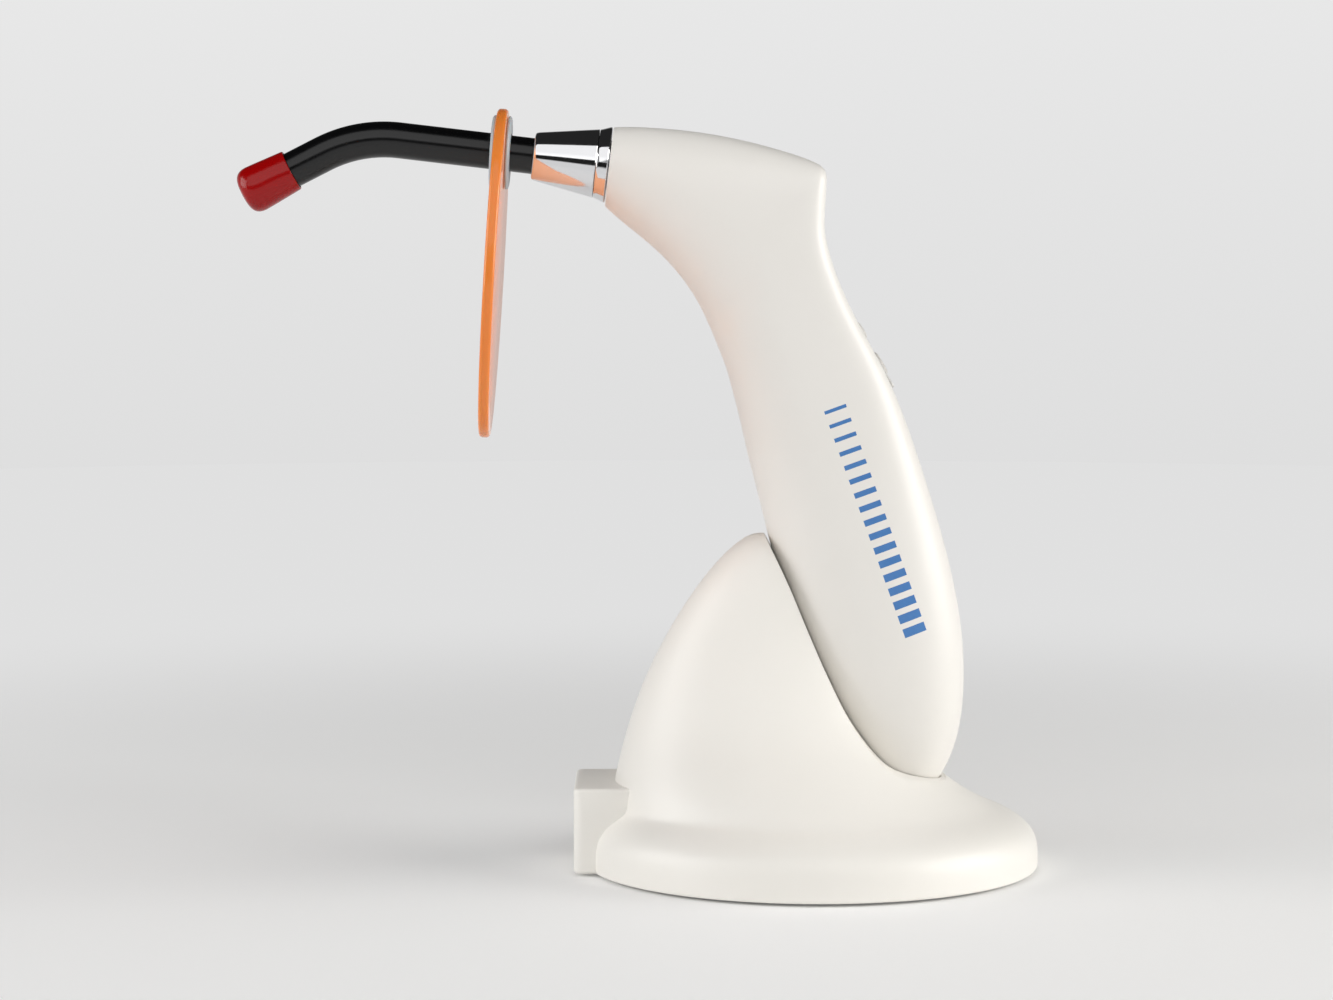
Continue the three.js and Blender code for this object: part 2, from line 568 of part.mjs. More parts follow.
function buildHandpiece() {
  const whole = casing();
  part('handle_shell_left', whole.intersect(halfSpace(-1)), 'white');
  part('handle_shell_right', whole.intersect(halfSpace(1)), 'white');
  SHELL_SCREWS.forEach((spot, i) => {
    const at = vector(spot, SHELL_HOLE.headY + 1.8);
    const shape = screw(at, SIDE.clone().negate(), SHELL_SCREW.head, SHELL_SCREW.shank);
    part(`shell_screw_${i + 1}`, shape, 'steel');
  });
  part('display_window', block(DISPLAY.x, DISPLAY.y, DISPLAY.z), 'glass');
  part('key_panel', keyPanel(), 'grey');
  for (const key of KEYS) part(key.name, keyCap(key), 'white');
  part('key_board', tiltedBlock(panelFrame, [-10, 10], [-7.5, 7.5], [-7.2, -5.6]), 'board');
  KEYS.forEach((key, i) => part(`tact_switch_${i + 1}`, tactSwitch(key), 'black'));
  part('main_board', mainBoard(), 'board');
  part('buzzer', turned([[16.0, 0], [16.0, 3.6], [13.9, 3.6], [13.9, 0]],
    gripFrame.at.clone().addScaledVector(gripFrame.along, 27), gripFrame.out, FINE), 'black');
  const cellEnd = CELL.length / 2;
  part('battery_cell', turned([
    [-cellEnd, 0], [-cellEnd, CELL.r], [cellEnd - 1.2, CELL.r],
    [cellEnd - 1.2, 3], [cellEnd, 3], [cellEnd, 0],
  ], gripFrame.at, gripFrame.along), 'cell');
  part('cell_cradle', cellCradle(), 'black');
  part('heat_sink', heatSink(), 'aluminium');
  part('led_board', onNose(plug(7, -6.8, -5.3), FINE), 'aluminium');
  part('led_lens', onNose([
    [-5.0, 0], [-5.0, 3.6], [-3.6, 3.5], [-2.4, 2.6], [-1.8, 1.4], [-1.6, 0],
  ], FINE), 'glass');
  part('lens_tube', onNose([
    [-4.8, 4.9], [-4.8, 7.2], [-3.2, 7.2], [-3.2, 6.2], [9, 6.2], [9, 4.9],
    [6.2, 4.9], [6.2, 5.5], [5.4, 5.5], [5.4, 4.9], [-4.8, 4.9],
  ]), 'aluminium');
  part('collar_ring', onNose([
    [RING.s[0], NOSE_BORE], [RING.s[0], RING.r[0] - 0.2], [0.2, RING.r[0]], [RING.s[1] - 0.2, RING.r[1]],
    [RING.s[1], RING.r[1] - 0.2], [RING.s[1], NOSE_BORE], [RING.s[0], NOSE_BORE],
  ], 40), 'chrome');
  part('nose_cone', onNose([
    [CONE.s[0], NOSE_BORE], [CONE.s[0], CONE.r[0] - 0.2], [CONE.s[0] + 0.2, CONE.r[0]],
    [CONE.s[1] - 0.3, CONE.r[1]], [CONE.s[1], CONE.r[1] - 0.25], [CONE.s[1], CONE.bore],
    [CONE.step, CONE.bore], [CONE.step, NOSE_BORE], [CONE.s[0], NOSE_BORE],
  ], 40), 'chrome');
  const [shoulder, top] = [WALL + GAP, WALL + 1];
  [-1, 1].forEach((side, i) => {
    part(`contact_plate_${i + 1}`, turned([
      [-CONTACT.proud, 0], [-CONTACT.proud, CONTACT.r], [shoulder, CONTACT.r],
      [shoulder, CONTACT.flange], [top, CONTACT.flange], [top, 0],
    ], atContact(side, GRIP_FLOOR), UP, FINE), 'brass');
  });
}

// ---- light guide and eye shield -----------------------------------------------------------------
function buildGuide() {
  const core = guideBar(CORE_R, FERRULE.s[0], undefined, 5);
  const line = guideLine(FERRULE.s[1] + GAP);
  const sleeveEnd = line.end - 0.4;
  part('guide_core', core, 'glass');
  const sleeveOutside = guideBar(GUIDE_R, FERRULE.s[1] + GAP, sleeveEnd, 7);
  const sleeveBore = guideBar(CORE_R + GAP, FERRULE.s[1] - 1, line.end + 1, 5);
  part('guide_sleeve', sleeveOutside.subtract(sleeveBore), 'black');
  const [back, front] = FERRULE.s;
  const bore = CORE_R + GAP;
  part('guide_ferrule', onNose([
    [back, bore], [back, GUIDE_R], [front, GUIDE_R], [front, bore], [back, bore],
  ]), 'steel');
  const ringSection = (k) => [
    O_RING.s + O_RING.section * Math.cos(k), O_RING.r + O_RING.section * Math.sin(k),
  ];
  const ring = Array.from({ length: 7 }, (_, i) => ringSection((2 * Math.PI * i) / 6));
  ring[6] = ring[0];
  part('guide_o_ring', onNose(ring), 'rubber');

  const mouth = line.bendEnd.clone().addScaledVector(line.tip, CAP.from);
  part('tip_cap', turned([
    [0, CAP.bore], [0, CAP.mouth - 0.1], [0.3, CAP.mouth + 0.1], [CAP.length - CAP.round, CAP.belly],
    [CAP.length - 1.6, CAP.belly - 0.5], [CAP.length - 0.5, CAP.belly - 1.9],
    [CAP.length - 0.1, CAP.belly - 3.6], [CAP.length, 0],
    [CAP.depth, 0], [CAP.depth, CAP.bore], [0, CAP.bore],
  ], mouth, line.tip), 'red');
}

function eyeShield() {
  const outline = new THREE.Shape().absellipse(0, 0, SHIELD.halfHeight, SHIELD.halfWidth, 0, 2 * Math.PI);
  const edge = 0.8;
  const geometry = new THREE.ExtrudeGeometry(outline, {
    depth: SHIELD.thick - 2 * edge,
    bevelEnabled: true,
    bevelThickness: edge,
    bevelSize: edge,
    bevelOffset: -edge,
    bevelSegments: 2,
    curveSegments: 32,
  });
  geometry.translate(0, 0, edge - SHIELD.thick / 2);
  const down = new THREE.Vector3(0, 1, 0).cross(shieldAxis).negate();
  const basis = new THREE.Matrix4().makeBasis(down, SIDE, new THREE.Vector3().crossVectors(down, SIDE));
  const middle = shieldFrame.clone().addScaledVector(down, SHIELD.drop * Math.sign(-down.z));
  geometry.applyMatrix4(basis.setPosition(middle));
  return solid(geometry).subtract(rod(GROMMET.neck + GAP, -3, 3, shieldFrame, shieldAxis, ROUND));
}

function buildShield() {
  part('eye_shield', eyeShield(), 'orange');
  const inner = SHIELD.thick / 2 + GAP / 2;
  const outer = inner + GROMMET.lip;
  const { flange } = GROMMET;
  part('shield_grommet', turned([
    [-outer, GROMMET.bore], [-outer, flange - 0.4], [-inner - 0.3, flange], [-inner, flange],
    [-inner, GROMMET.neck], [inner, GROMMET.neck], [inner, flange], [inner + 0.3, flange],
    [outer, flange - 0.4], [outer, GROMMET.bore], [-outer, GROMMET.bore],
  ], shieldFrame, shieldAxis), 'silicone');
}

buildStand();
buildHandpiece();
buildGuide();
buildShield();

export default light;
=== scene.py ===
# %% [markdown]
# # A cordless dental curing light in its charging stand
# The measured frame comes in first. Every piece below is modelled in place around it, in metres,
# with +Z up and the nose pointing to -X. Each new piece rides on one of the frame's bodies, so it
# moves as the real piece does.

# %% Load the frame
import json
import math

import bmesh
import bpy
from mathutils import Matrix, Vector
from mathutils.geometry import interpolate_bezier


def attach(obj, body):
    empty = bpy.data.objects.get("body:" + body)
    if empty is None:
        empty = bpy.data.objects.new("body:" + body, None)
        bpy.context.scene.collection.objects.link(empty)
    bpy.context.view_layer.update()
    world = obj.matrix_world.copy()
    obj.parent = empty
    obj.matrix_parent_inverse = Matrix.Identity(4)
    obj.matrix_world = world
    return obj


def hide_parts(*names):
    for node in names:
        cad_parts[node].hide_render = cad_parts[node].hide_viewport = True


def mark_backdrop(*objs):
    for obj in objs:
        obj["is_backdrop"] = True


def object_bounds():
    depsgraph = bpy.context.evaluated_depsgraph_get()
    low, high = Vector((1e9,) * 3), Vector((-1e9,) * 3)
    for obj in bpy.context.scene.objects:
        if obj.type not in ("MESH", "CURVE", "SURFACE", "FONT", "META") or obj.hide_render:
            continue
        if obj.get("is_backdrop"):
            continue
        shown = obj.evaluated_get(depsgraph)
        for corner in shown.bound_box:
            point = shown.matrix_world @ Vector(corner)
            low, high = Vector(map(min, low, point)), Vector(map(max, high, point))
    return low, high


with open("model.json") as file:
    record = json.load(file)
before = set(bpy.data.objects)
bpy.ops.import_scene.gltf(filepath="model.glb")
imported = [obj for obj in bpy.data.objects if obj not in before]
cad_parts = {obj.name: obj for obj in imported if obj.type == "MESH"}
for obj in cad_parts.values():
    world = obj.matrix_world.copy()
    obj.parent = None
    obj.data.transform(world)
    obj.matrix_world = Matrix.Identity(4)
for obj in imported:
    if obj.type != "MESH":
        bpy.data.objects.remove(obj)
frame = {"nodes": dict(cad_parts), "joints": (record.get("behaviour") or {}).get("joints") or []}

cad_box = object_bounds()
joints = {joint["name"]: joint for joint in frame["joints"]}

# %% Places and directions read from the frame
MM = 0.001
NOSE = Vector(joints["guide_turn"]["axis"]).normalized()
# The guide turns on its O-ring, so the front of the casing is this far back from the joint.
O_RING_S = 5.8
NOSE_AT = Vector(joints["guide_turn"]["pos_m"]) - O_RING_S * MM * NOSE
SHIELD_AT = Vector(joints["shield_turn"]["pos_m"])
SHIELD_OUT = Vector(joints["shield_turn"]["axis"]).normalized()
TIP = Vector(joints["cap_pull"]["axis"]).normalized()
PANEL_OUT = -Vector(joints["power_key_press"]["axis"]).normalized()
PANEL_DOWN = Vector((PANEL_OUT.z, 0, -PANEL_OUT.x))
UP = Vector((0, 0, 1))
ACROSS = Vector((0, 1, 0))
TO_RIGHT = Vector((1, 0, 0))


def reach_along(node, direction, origin):
    """Nearest and furthest place of a frame node along a direction, in metres from an origin."""
    steps = [(Vector(v.co) - origin).dot(direction) for v in frame["nodes"][node].data.vertices]
    return min(steps), max(steps)


for node in ("collar_ring", "nose_cone", "tip_cap", "guide_sleeve"):
    print(node, "starts and ends at", [round(s / MM, 2) for s in reach_along(node, NOSE, NOSE_AT)])

# %% [markdown]
# ## Small tools
# Modelling here is the by-hand kind: add a primitive, go into edit mode, pick some of it by place,
# and extrude, scale, bridge or bevel. These helpers only save typing. Everything is deselected
# before a primitive is added, because an operator acts on all that is selected.

# %% Starting a piece and picking parts of it


def add(primitive, name, **settings):
    """Adds one primitive as a new piece and leaves it selected on its own."""
    bpy.ops.object.select_all(action="DESELECT")
    getattr(bpy.ops.mesh, f"primitive_{primitive}_add")(**settings)
    piece = bpy.context.active_object
    piece.name = piece.data.name = name
    return piece


def choose(piece):
    """Selects one piece and makes it the active one."""
    bpy.ops.object.select_all(action="DESELECT")
    piece.select_set(True)
    bpy.context.view_layer.objects.active = piece


def edit(piece, mode="VERT"):
    choose(piece)
    bpy.ops.object.mode_set(mode="EDIT")
    bpy.ops.mesh.select_mode(type=mode)
    bpy.ops.mesh.select_all(action="SELECT")


def leave():
    bpy.ops.object.mode_set(mode="OBJECT")


def pick(rule, kind="verts"):
    """In edit mode, selects the vertices, edges or faces whose middle passes the rule."""
    data = bpy.context.edit_object.data
    mesh = bmesh.from_edit_mesh(data)
    bpy.ops.mesh.select_all(action="DESELECT")
    chosen = 0
    for item in getattr(mesh, kind):
        if kind == "verts":
            middle = item.co
        else:
            middle = sum((v.co for v in item.verts), Vector()) / len(item.verts)
        if rule(middle, item):
            item.select_set(True)
            chosen += 1
    mesh.select_flush_mode()
    bmesh.update_edit_mesh(data)
    return chosen


# %% Moving a piece to its place, and finishing it with modifiers


def place(piece, at, direction=UP):
    """Turns a piece made along +Z to point in a direction, moves it, and puts its place in its mesh."""
    turn = UP.rotation_difference(direction).to_matrix().to_4x4()
    piece.matrix_world = Matrix.Translation(at) @ turn @ piece.matrix_world
    settle(piece)


def settle(piece):
    choose(piece)
    bpy.ops.object.transform_apply(location=True, rotation=True, scale=True)


def modify(piece, kind, **settings):
    """Adds one modifier, sets it and applies it."""
    choose(piece)
    modifier = piece.modifiers.new(kind.title(), kind)
    for key, value in settings.items():
        setattr(modifier, key, value)
    bpy.ops.object.modifier_apply(modifier=modifier.name)


def subdivide(piece):
    modify(piece, "SUBSURF", levels=2, render_levels=2)


def soften(piece, width=0.25, segments=3, angle=35):
    """Rounds the sharp edges by a width in millimetres, as tooling and moulding do."""
    modify(piece, "BEVEL", width=width * MM, segments=segments, limit_method="ANGLE",
           angle_limit=math.radians(angle), harden_normals=False)


def smooth(piece, angle=32):
    choose(piece)
    bpy.ops.object.shade_smooth_by_angle(angle=math.radians(angle))


def carve(piece, tool, operation="DIFFERENCE"):
    """Cuts or joins a piece with a tool, which is then thrown away."""
    modify(piece, "BOOLEAN", operation=operation, object=tool, solver="MANIFOLD")
    bpy.data.objects.remove(tool, do_unlink=True)


def tell(piece):
    """Prints how many faces a piece has, and its box."""
    low = [round(min(v.co[i] for v in piece.data.vertices) / MM, 1) for i in range(3)]
    high = [round(max(v.co[i] for v in piece.data.vertices) / MM, 1) for i in range(3)]
    print(f"{piece.name}: {len(piece.data.polygons)} faces, {low} to {high} mm")


# %% [markdown]
# ## Turned pieces
# Rings, cones, caps and grommets are all round, so they come off a lathe. The by-hand way is to
# start with a circle and go up the profile: extrude the ring, move it along, and scale it to the
# next radius. A profile that comes back to its first row is bridged into a closed ring.

# %% The lathe


def turn_on_lathe(name, profile, at, direction, sides=96, closed=False):
    """A round piece from rows of (distance, radius) in millimetres."""
    first = profile[0]
    piece = add("circle", name, vertices=sides, radius=first[1] * MM, location=(0, 0, first[0] * MM))
    edit(piece)
    radius = first[1]
    if not closed:
        bpy.ops.mesh.edge_face_add()
    for step, (distance, next_radius) in enumerate(profile[1:], 1):
        rise = (distance - profile[step - 1][0]) * MM
        bpy.ops.mesh.extrude_region_move(TRANSFORM_OT_translate={"value": (0, 0, rise)})
        growth = next_radius / radius
        bpy.ops.transform.resize(value=(growth, growth, 1), center_override=(0, 0, distance * MM))
        radius = next_radius
    bpy.ops.mesh.select_all(action="SELECT")
    if closed:
        bpy.ops.mesh.remove_doubles(threshold=0.005 * MM)
    bpy.ops.mesh.normals_make_consistent(inside=False)
    leave()
    settle(piece)
    place(piece, at, direction)
    return piece


def ringed(profile):
    """Closes a profile on itself."""
    return profile + [profile[0]]


# %% [markdown]
# ## The casing form
# The pistol-shaped casing has no flat side, so it is skinned over a row of ribs, as a boat hull is.
# Each rib is a circle primitive whose rear half is pulled out towards a rounded square, because the
# back of the casing is nearly flat with tight corners while its front is round. The rib is then
# scaled to the depth and width of the casing at that place and leaned over. Neighbouring ribs are
# bridged, and subdivision makes the skin flow.

# %% Ribs of the casing, in millimetres
# back x, back z, front x, front z, half width, squareness of the rear half (2 is round)
CASING_RIBS = [
    (-53.1, 190.7, -55.2, 171.2, 9.7, 2.0),
    (-49.0, 190.8, -51.7, 167.9, 10.6, 2.0),
    (-43.0, 190.7, -47.6, 164.6, 11.8, 2.1),
    (-30.2, 189.6, -39.9, 158.4, 14.0, 2.3),
    (-17.5, 187.1, -33.9, 151.4, 15.3, 2.8),
    (-6.2, 183.8, -30.0, 145.0, 15.9, 3.9),
    (-0.4, 181.6, -28.9, 142.4, 16.1, 5.4),
    (1.9, 179.8, -28.0, 140.4, 16.2, 6.4),
    (1.8, 176.0, -27.2, 138.7, 16.2, 6.8),
    (1.3, 169.0, -26.2, 136.2, 16.2, 7.0),
    (1.1, 163.4, -25.4, 134.2, 16.3, 7.0),
    (4.1, 153.3, -23.4, 129.4, 16.4, 6.8),
    (9.3, 141.8, -21.9, 123.5, 16.5, 6.4),
    (15.9, 130.9, -20.1, 116.9, 16.7, 5.6),
    (21.2, 119.5, -17.9, 106.6, 16.9, 4.4),
    (27.4, 101.6, -14.6, 94.5, 17.1, 3.4),
    (33.1, 83.4, -11.0, 79.0, 17.1, 2.8),
    (37.3, 64.8, -5.2, 61.5, 16.9, 2.5),
    (38.3, 48.9, 1.2, 45.5, 16.2, 2.3),
    (37.2, 36.2, 7.8, 33.5, 14.6, 2.2),
    (34.2, 27.2, 13.4, 25.2, 12.0, 2.1),
    (30.4, 21.2, 18.0, 20.5, 9.2, 2.0),
    (27.2, 18.6, 20.9, 18.4, 5.4, 2.0),
]
RIB_SIDES = 32
# Subdivision pulls a ring of this many sides in by this much, so ribs start that much larger.
RIB_SHRINK = (4 + 2 * math.cos(2 * math.pi / RIB_SIDES)) / 6
# Each rib is shaped on a bench above the casing, where nothing else is picked with it.
BENCH = Vector((0, 0, 5))


def rib(centre, reach, half_width, squareness):
    """Adds one rib to the piece in edit mode. `reach` runs from its middle to its back."""
    bpy.ops.mesh.primitive_circle_add(vertices=RIB_SIDES, radius=1, location=BENCH)
    for step in range(1, RIB_SIDES // 4):
        angle = 2 * math.pi * step / RIB_SIDES
        out, side = math.cos(angle), math.sin(angle)
        pick(lambda place, vertex: place.z > 1 and place.x > 0.01
             and abs(place.x - out) < 0.01 and abs(abs(place.y) - side) < 0.01)
        stretch = (out ** (2 / squareness) / out, side ** (2 / squareness) / side, 1)
        bpy.ops.transform.resize(value=stretch, center_override=BENCH)
    pick(lambda place, vertex: place.z > 1)
    size = (reach.length / RIB_SHRINK, half_width / RIB_SHRINK, 1)
    bpy.ops.transform.resize(value=size, center_override=BENCH)
    lean = math.atan2(-reach.z, reach.x)
    bpy.ops.transform.rotate(value=-lean, orient_axis="Y", center_override=BENCH)
    bpy.ops.transform.translate(value=centre - BENCH)


def casing_form(name):
    """The casing's closed skin."""
    piece = add("circle", name, vertices=3, radius=MM, location=(0, 0, 0))
    edit(piece)
    bpy.ops.mesh.delete(type="VERT")
    planes = []
    for back_x, back_z, front_x, front_z, half_width, squareness in CASING_RIBS:
        back = Vector((back_x, 0, back_z)) * MM
        front = Vector((front_x, 0, front_z)) * MM
        middle = (back + front) / 2
        reach = (back - front) / 2
        rib(middle, reach, half_width * MM, squareness)
        planes.append((middle, reach.normalized().cross(ACROSS)))

    def on_rib(place, number):
        middle, normal = planes[number]
        far = CASING_RIBS[number]
        size = math.dist(far[0:2], far[2:4]) * MM
        return abs((place - middle).dot(normal)) < 0.02 * MM and (place - middle).length < size

    for number in range(len(planes) - 1):
        pick(lambda place, vertex: on_rib(place, number) or on_rib(place, number + 1))
        bpy.ops.mesh.bridge_edge_loops()
    for end in (0, len(planes) - 1):
        pick(lambda place, vertex: on_rib(place, end))
        bpy.ops.mesh.edge_face_add()
        bpy.ops.mesh.inset(thickness=0.4 * MM)
        bpy.ops.mesh.inset(thickness=0.8 * MM)
    bpy.ops.mesh.select_all(action="SELECT")
    bpy.ops.mesh.normals_make_consistent(inside=False)
    leave()
    settle(piece)
    subdivide(piece)
    return piece


casing = casing_form("casing_form")
tell(casing)


# %% [markdown]
# ## Blocks, plates and copies
# A cube primitive is the start of every block. In edit mode it is resized, and its four upright
# edges are bevelled, which gives the round corners of a moulded plate. A cutter such as a recess is
# made in the same way, a little larger than what goes into it.

# %% Blocks, flat cuts and copies


def block(name, size, at, along=TO_RIGHT, out=UP, corner=0.0):
    """A block round a place, its size in millimetres, its height along `out`, its upright corners round."""
    piece = add("cube", name, size=MM)
    edit(piece, "EDGE")
    bpy.ops.transform.resize(value=size)
    if corner > 0:
        half = size[2] * MM / 4
        pick(lambda place, edge: abs(edge.verts[0].co.z - edge.verts[1].co.z) > half, "edges")
        bpy.ops.mesh.bevel(offset=corner * MM, segments=8, affect="EDGES")
    leave()
    turn = Matrix((along, out.cross(along), out)).transposed().to_4x4()
    piece.matrix_world = Matrix.Translation(at) @ turn
    settle(piece)
    return piece


def cut_flat(piece, at, direction, fill=True):
    """Cuts a piece at a plane and throws away what lies beyond it."""
    edit(piece)
    bpy.ops.mesh.bisect(plane_co=at, plane_no=direction, use_fill=fill, clear_outer=True)
    leave()


def copy_of(piece, name):
    twin = piece.copy()
    twin.data = piece.data.copy()
    twin.name = twin.data.name = name
    bpy.context.collection.objects.link(twin)
    return twin


def grown(piece, name, amount):
    """A copy of a closed form, moved out along its normals by some millimetres, or in."""
    twin = copy_of(piece, name)
    edit(twin)
    bpy.ops.transform.shrink_fatten(value=amount * MM)
    leave()
    return twin


def rod(name, radius, start, end, at, direction, sides=48):
    """A plain round cutter or post."""
    return turn_on_lathe(name, [(start, radius), (end, radius)], at, direction, sides)


# %% [markdown]
# ## The two casing halves
# The real casing is moulded in two halves that meet on the middle plane. The closed form is cut flat
# underneath, cut in two, and each half gets its wall from Solidify. The recesses for the keys, the
# display and the charging contacts are then cut out of the walls.

# %% Halves with a wall
WALL = 2.2
SPLIT = 0.15
GRIP_FLOOR = 20.2
CONTACT = Vector((23.5, 3.6, 0)) * MM

whole = copy_of(casing, "casing_whole")
cut_flat(whole, (0, 0, GRIP_FLOOR * MM), (0, 0, -1))


def contact_spot(side):
    """Place under one of the two charging contacts, on the left side (-1) or the right (1)."""
    return Vector((CONTACT.x, side * CONTACT.y, 0))


def half_casing(name, side):
    half = copy_of(whole, name)
    cut_flat(half, (0, side * SPLIT * MM, 0), (0, -side, 0), fill=False)
    modify(half, "SOLIDIFY", thickness=WALL * MM, offset=-1, use_even_offset=True)
    soften(half, 0.18, 2, 50)
    return half


casing_left = half_casing("casing_left", -1)
casing_right = half_casing("casing_right", 1)
bpy.data.objects.remove(whole, do_unlink=True)
tell(casing_left)
tell(casing_right)

# %% Posts for the screws, inside both halves
# x and z of each screw, which goes in from the right half
SCREW_SPOTS = [(-8, 172), (-4, 127), (22.5, 28.5)]
SCREW_HEAD_Y = 7
POST, SCREW_HOLE, SHANK_HOLE, SCREW_WELL = 3.6, 1.25, 1.6, 2.9
spots = [Vector((x, 0, z)) * MM for x, z in SCREW_SPOTS]
for half, side in ((casing_left, -1), (casing_right, 1)):
    for spot in spots:
        post = rod("post", POST, SPLIT, 30, spot, ACROSS * side)
        carve(post, grown(casing, "casing_core", -1.0), "INTERSECT")
        carve(half, post, "UNION")
for spot in spots:
    carve(casing_left, rod("hole", SCREW_HOLE, -1, 10, spot, -ACROSS))
    carve(casing_right, rod("hole", SHANK_HOLE, -1, SCREW_HEAD_Y + 1, spot, ACROSS))
    carve(casing_right, rod("well", SCREW_WELL, SCREW_HEAD_Y, 30, spot, ACROSS))

# %% Openings for the key panel, the display, the nose and the contacts
PANEL_SIZE = (22, 16, 1.2)
PANEL_AT = Vector((13.6, 0, 134.1)) * MM
PANEL_SINK = 0.45
DISPLAY_SIZE = (10, 16, 1.3)
DISPLAY_AT = Vector((0, 0, 171)) * MM
CLEAR = 0.6
NOSE_BORE = 6.5
CONTACT_HOLE = 2.1
for half in (casing_left, casing_right):
    cutters = [
        block("recess", (PANEL_SIZE[0] + CLEAR, PANEL_SIZE[1] + CLEAR, 5.3),
              PANEL_AT + 1.35 * MM * PANEL_OUT, PANEL_DOWN, PANEL_OUT, 2.3),
        block("opening", (19.2, 14.8, 8), PANEL_AT - 2 * MM * PANEL_OUT, PANEL_DOWN, PANEL_OUT, 1.5),
        block("display_recess", (DISPLAY_SIZE[0] + CLEAR, DISPLAY_SIZE[1] + CLEAR, 5),
              DISPLAY_AT + 2.1 * MM * TO_RIGHT, -UP, TO_RIGHT, 1.8),
        block("display_opening", (8, 13, 8), DISPLAY_AT, -UP, TO_RIGHT, 1.0),
        rod("nose_hole", NOSE_BORE, -9, 3, NOSE_AT, NOSE, 64),
        rod("front_face", 30, -0.3, 9, NOSE_AT, NOSE, 64),
    ]
    for side in (-1, 1):
        cutters.append(rod("contact_hole", CONTACT_HOLE, 15, 24, contact_spot(side), UP))
    for cutter in cutters:
        carve(half, cutter)
    tell(half)

# %% [markdown]
# ## The key panel, its three keys and the display
# A soft-grey panel is let into the sloping back under the thumb. Three rubbery keys stand a little
# proud of it: one round power key and two small ones. They are turned on the lathe with a domed top
# and a flange that holds them behind the panel.

# %% Panel with its key holes
# name of the joint's body, how far down the panel, sideways, radius
KEYS = [("power_key", 4.4, 0.0, 3.2), ("mode_key", -5.6, -3.9, 2.4), ("time_key", -5.6, 3.9, 2.4)]


def key_place(down, sideways):
    return PANEL_AT + (PANEL_DOWN * down + ACROSS * sideways) * MM


panel = block("panel_plate", PANEL_SIZE, PANEL_AT - PANEL_SINK * MM * PANEL_OUT, PANEL_DOWN, PANEL_OUT, 2.0)
soften(panel, 0.3, 3)
for body, down, sideways, radius in KEYS:
    carve(panel, rod("key_hole", radius + 0.3, -3, 3, key_place(down, sideways), PANEL_OUT, 64))
tell(panel)

# %% Keys
key_pieces = {}
for body, down, sideways, radius in KEYS:
    key_pieces[body] = turn_on_lathe(f"{body}_cap", [
        (-2.1, radius + 0.6), (-2.0, radius + 0.7), (-1.5, radius + 0.7), (-1.4, radius + 0.6),
        (-1.4, radius), (0.3, radius), (0.52, radius - 0.08), (0.68, radius - 0.28),
        (0.8, radius - 0.62), (0.87, radius - 1.1), (0.8, radius - 1.5), (0.75, radius - 1.9), (0.73, 0.2),
    ], key_place(down, sideways), PANEL_OUT, 64)
    tell(key_pieces[body])

# %% Display window
window = block("display_glass", DISPLAY_SIZE, DISPLAY_AT + 0.5 * MM * TO_RIGHT, -UP, TO_RIGHT, 1.6)
soften(window, 0.2, 3)
tell(window)

# %% [markdown]
# ## The charging stand
# Foot and cradle are one moulding. Seen from above every level section of it is close to an ellipse,
# from the round foot to the narrow top of the cradle, so it is one long loft: a circle is extruded
# upwards level by level, moved and scaled each time, and smoothed by subdivision. The grip's own
# form then cuts its pocket, and a plate with a flowing edge cuts the open side.

# %% Level sections of the stand: height, left end, right end, half width, in millimetres
STAND_LEVELS = [
    (0.8, -58.2, 55.9, 55.9), (0.8, -59.2, 56.9, 56.9), (1.2, -59.5, 57.25, 57.25),
    (2.6, -59.5, 57.25, 57.25), (4.8, -59.5, 57.25, 57.25), (7.0, -59.4, 57.1, 57.2),
    (9.0, -59.0, 56.4, 56.8), (10.8, -58.2, 55.2, 56.0), (12.4, -57.0, 53.3, 54.6),
    (13.8, -55.6, 51.0, 52.6), (15.0, -54.1, 48.3, 50.1), (15.8, -53.2, 46.4, 47.9),
    (16.6, -52.6, 44.6, 46.0), (18.0, -52.4, 41.8, 44.2), (20.4, -52.4, 37.8, 42.3),
    (23, -52.1, 34.2, 40.0), (26, -51.5, 30.4, 37.2), (30, -50.5, 26.2, 33.4),
    (35, -49.2, 22.8, 29.2), (40, -47.7, 20, 25.9), (50, -44.1, 15, 20.8),
    (60, -39.2, 10, 17.1), (70, -33.1, 6, 14.4), (77, -27.9, 2.4, 12.3),
    (82, -23.3, -2.0, 10.1), (84.8, -19.9, -6.2, 7.4), (86.3, -17.4, -10.0, 4.0),
    (86.7, -15.4, -12.6, 1.4),
]
LEVEL_SIDES = 48
LEVEL_SHRINK = (4 + 2 * math.cos(2 * math.pi / LEVEL_SIDES)) / 6


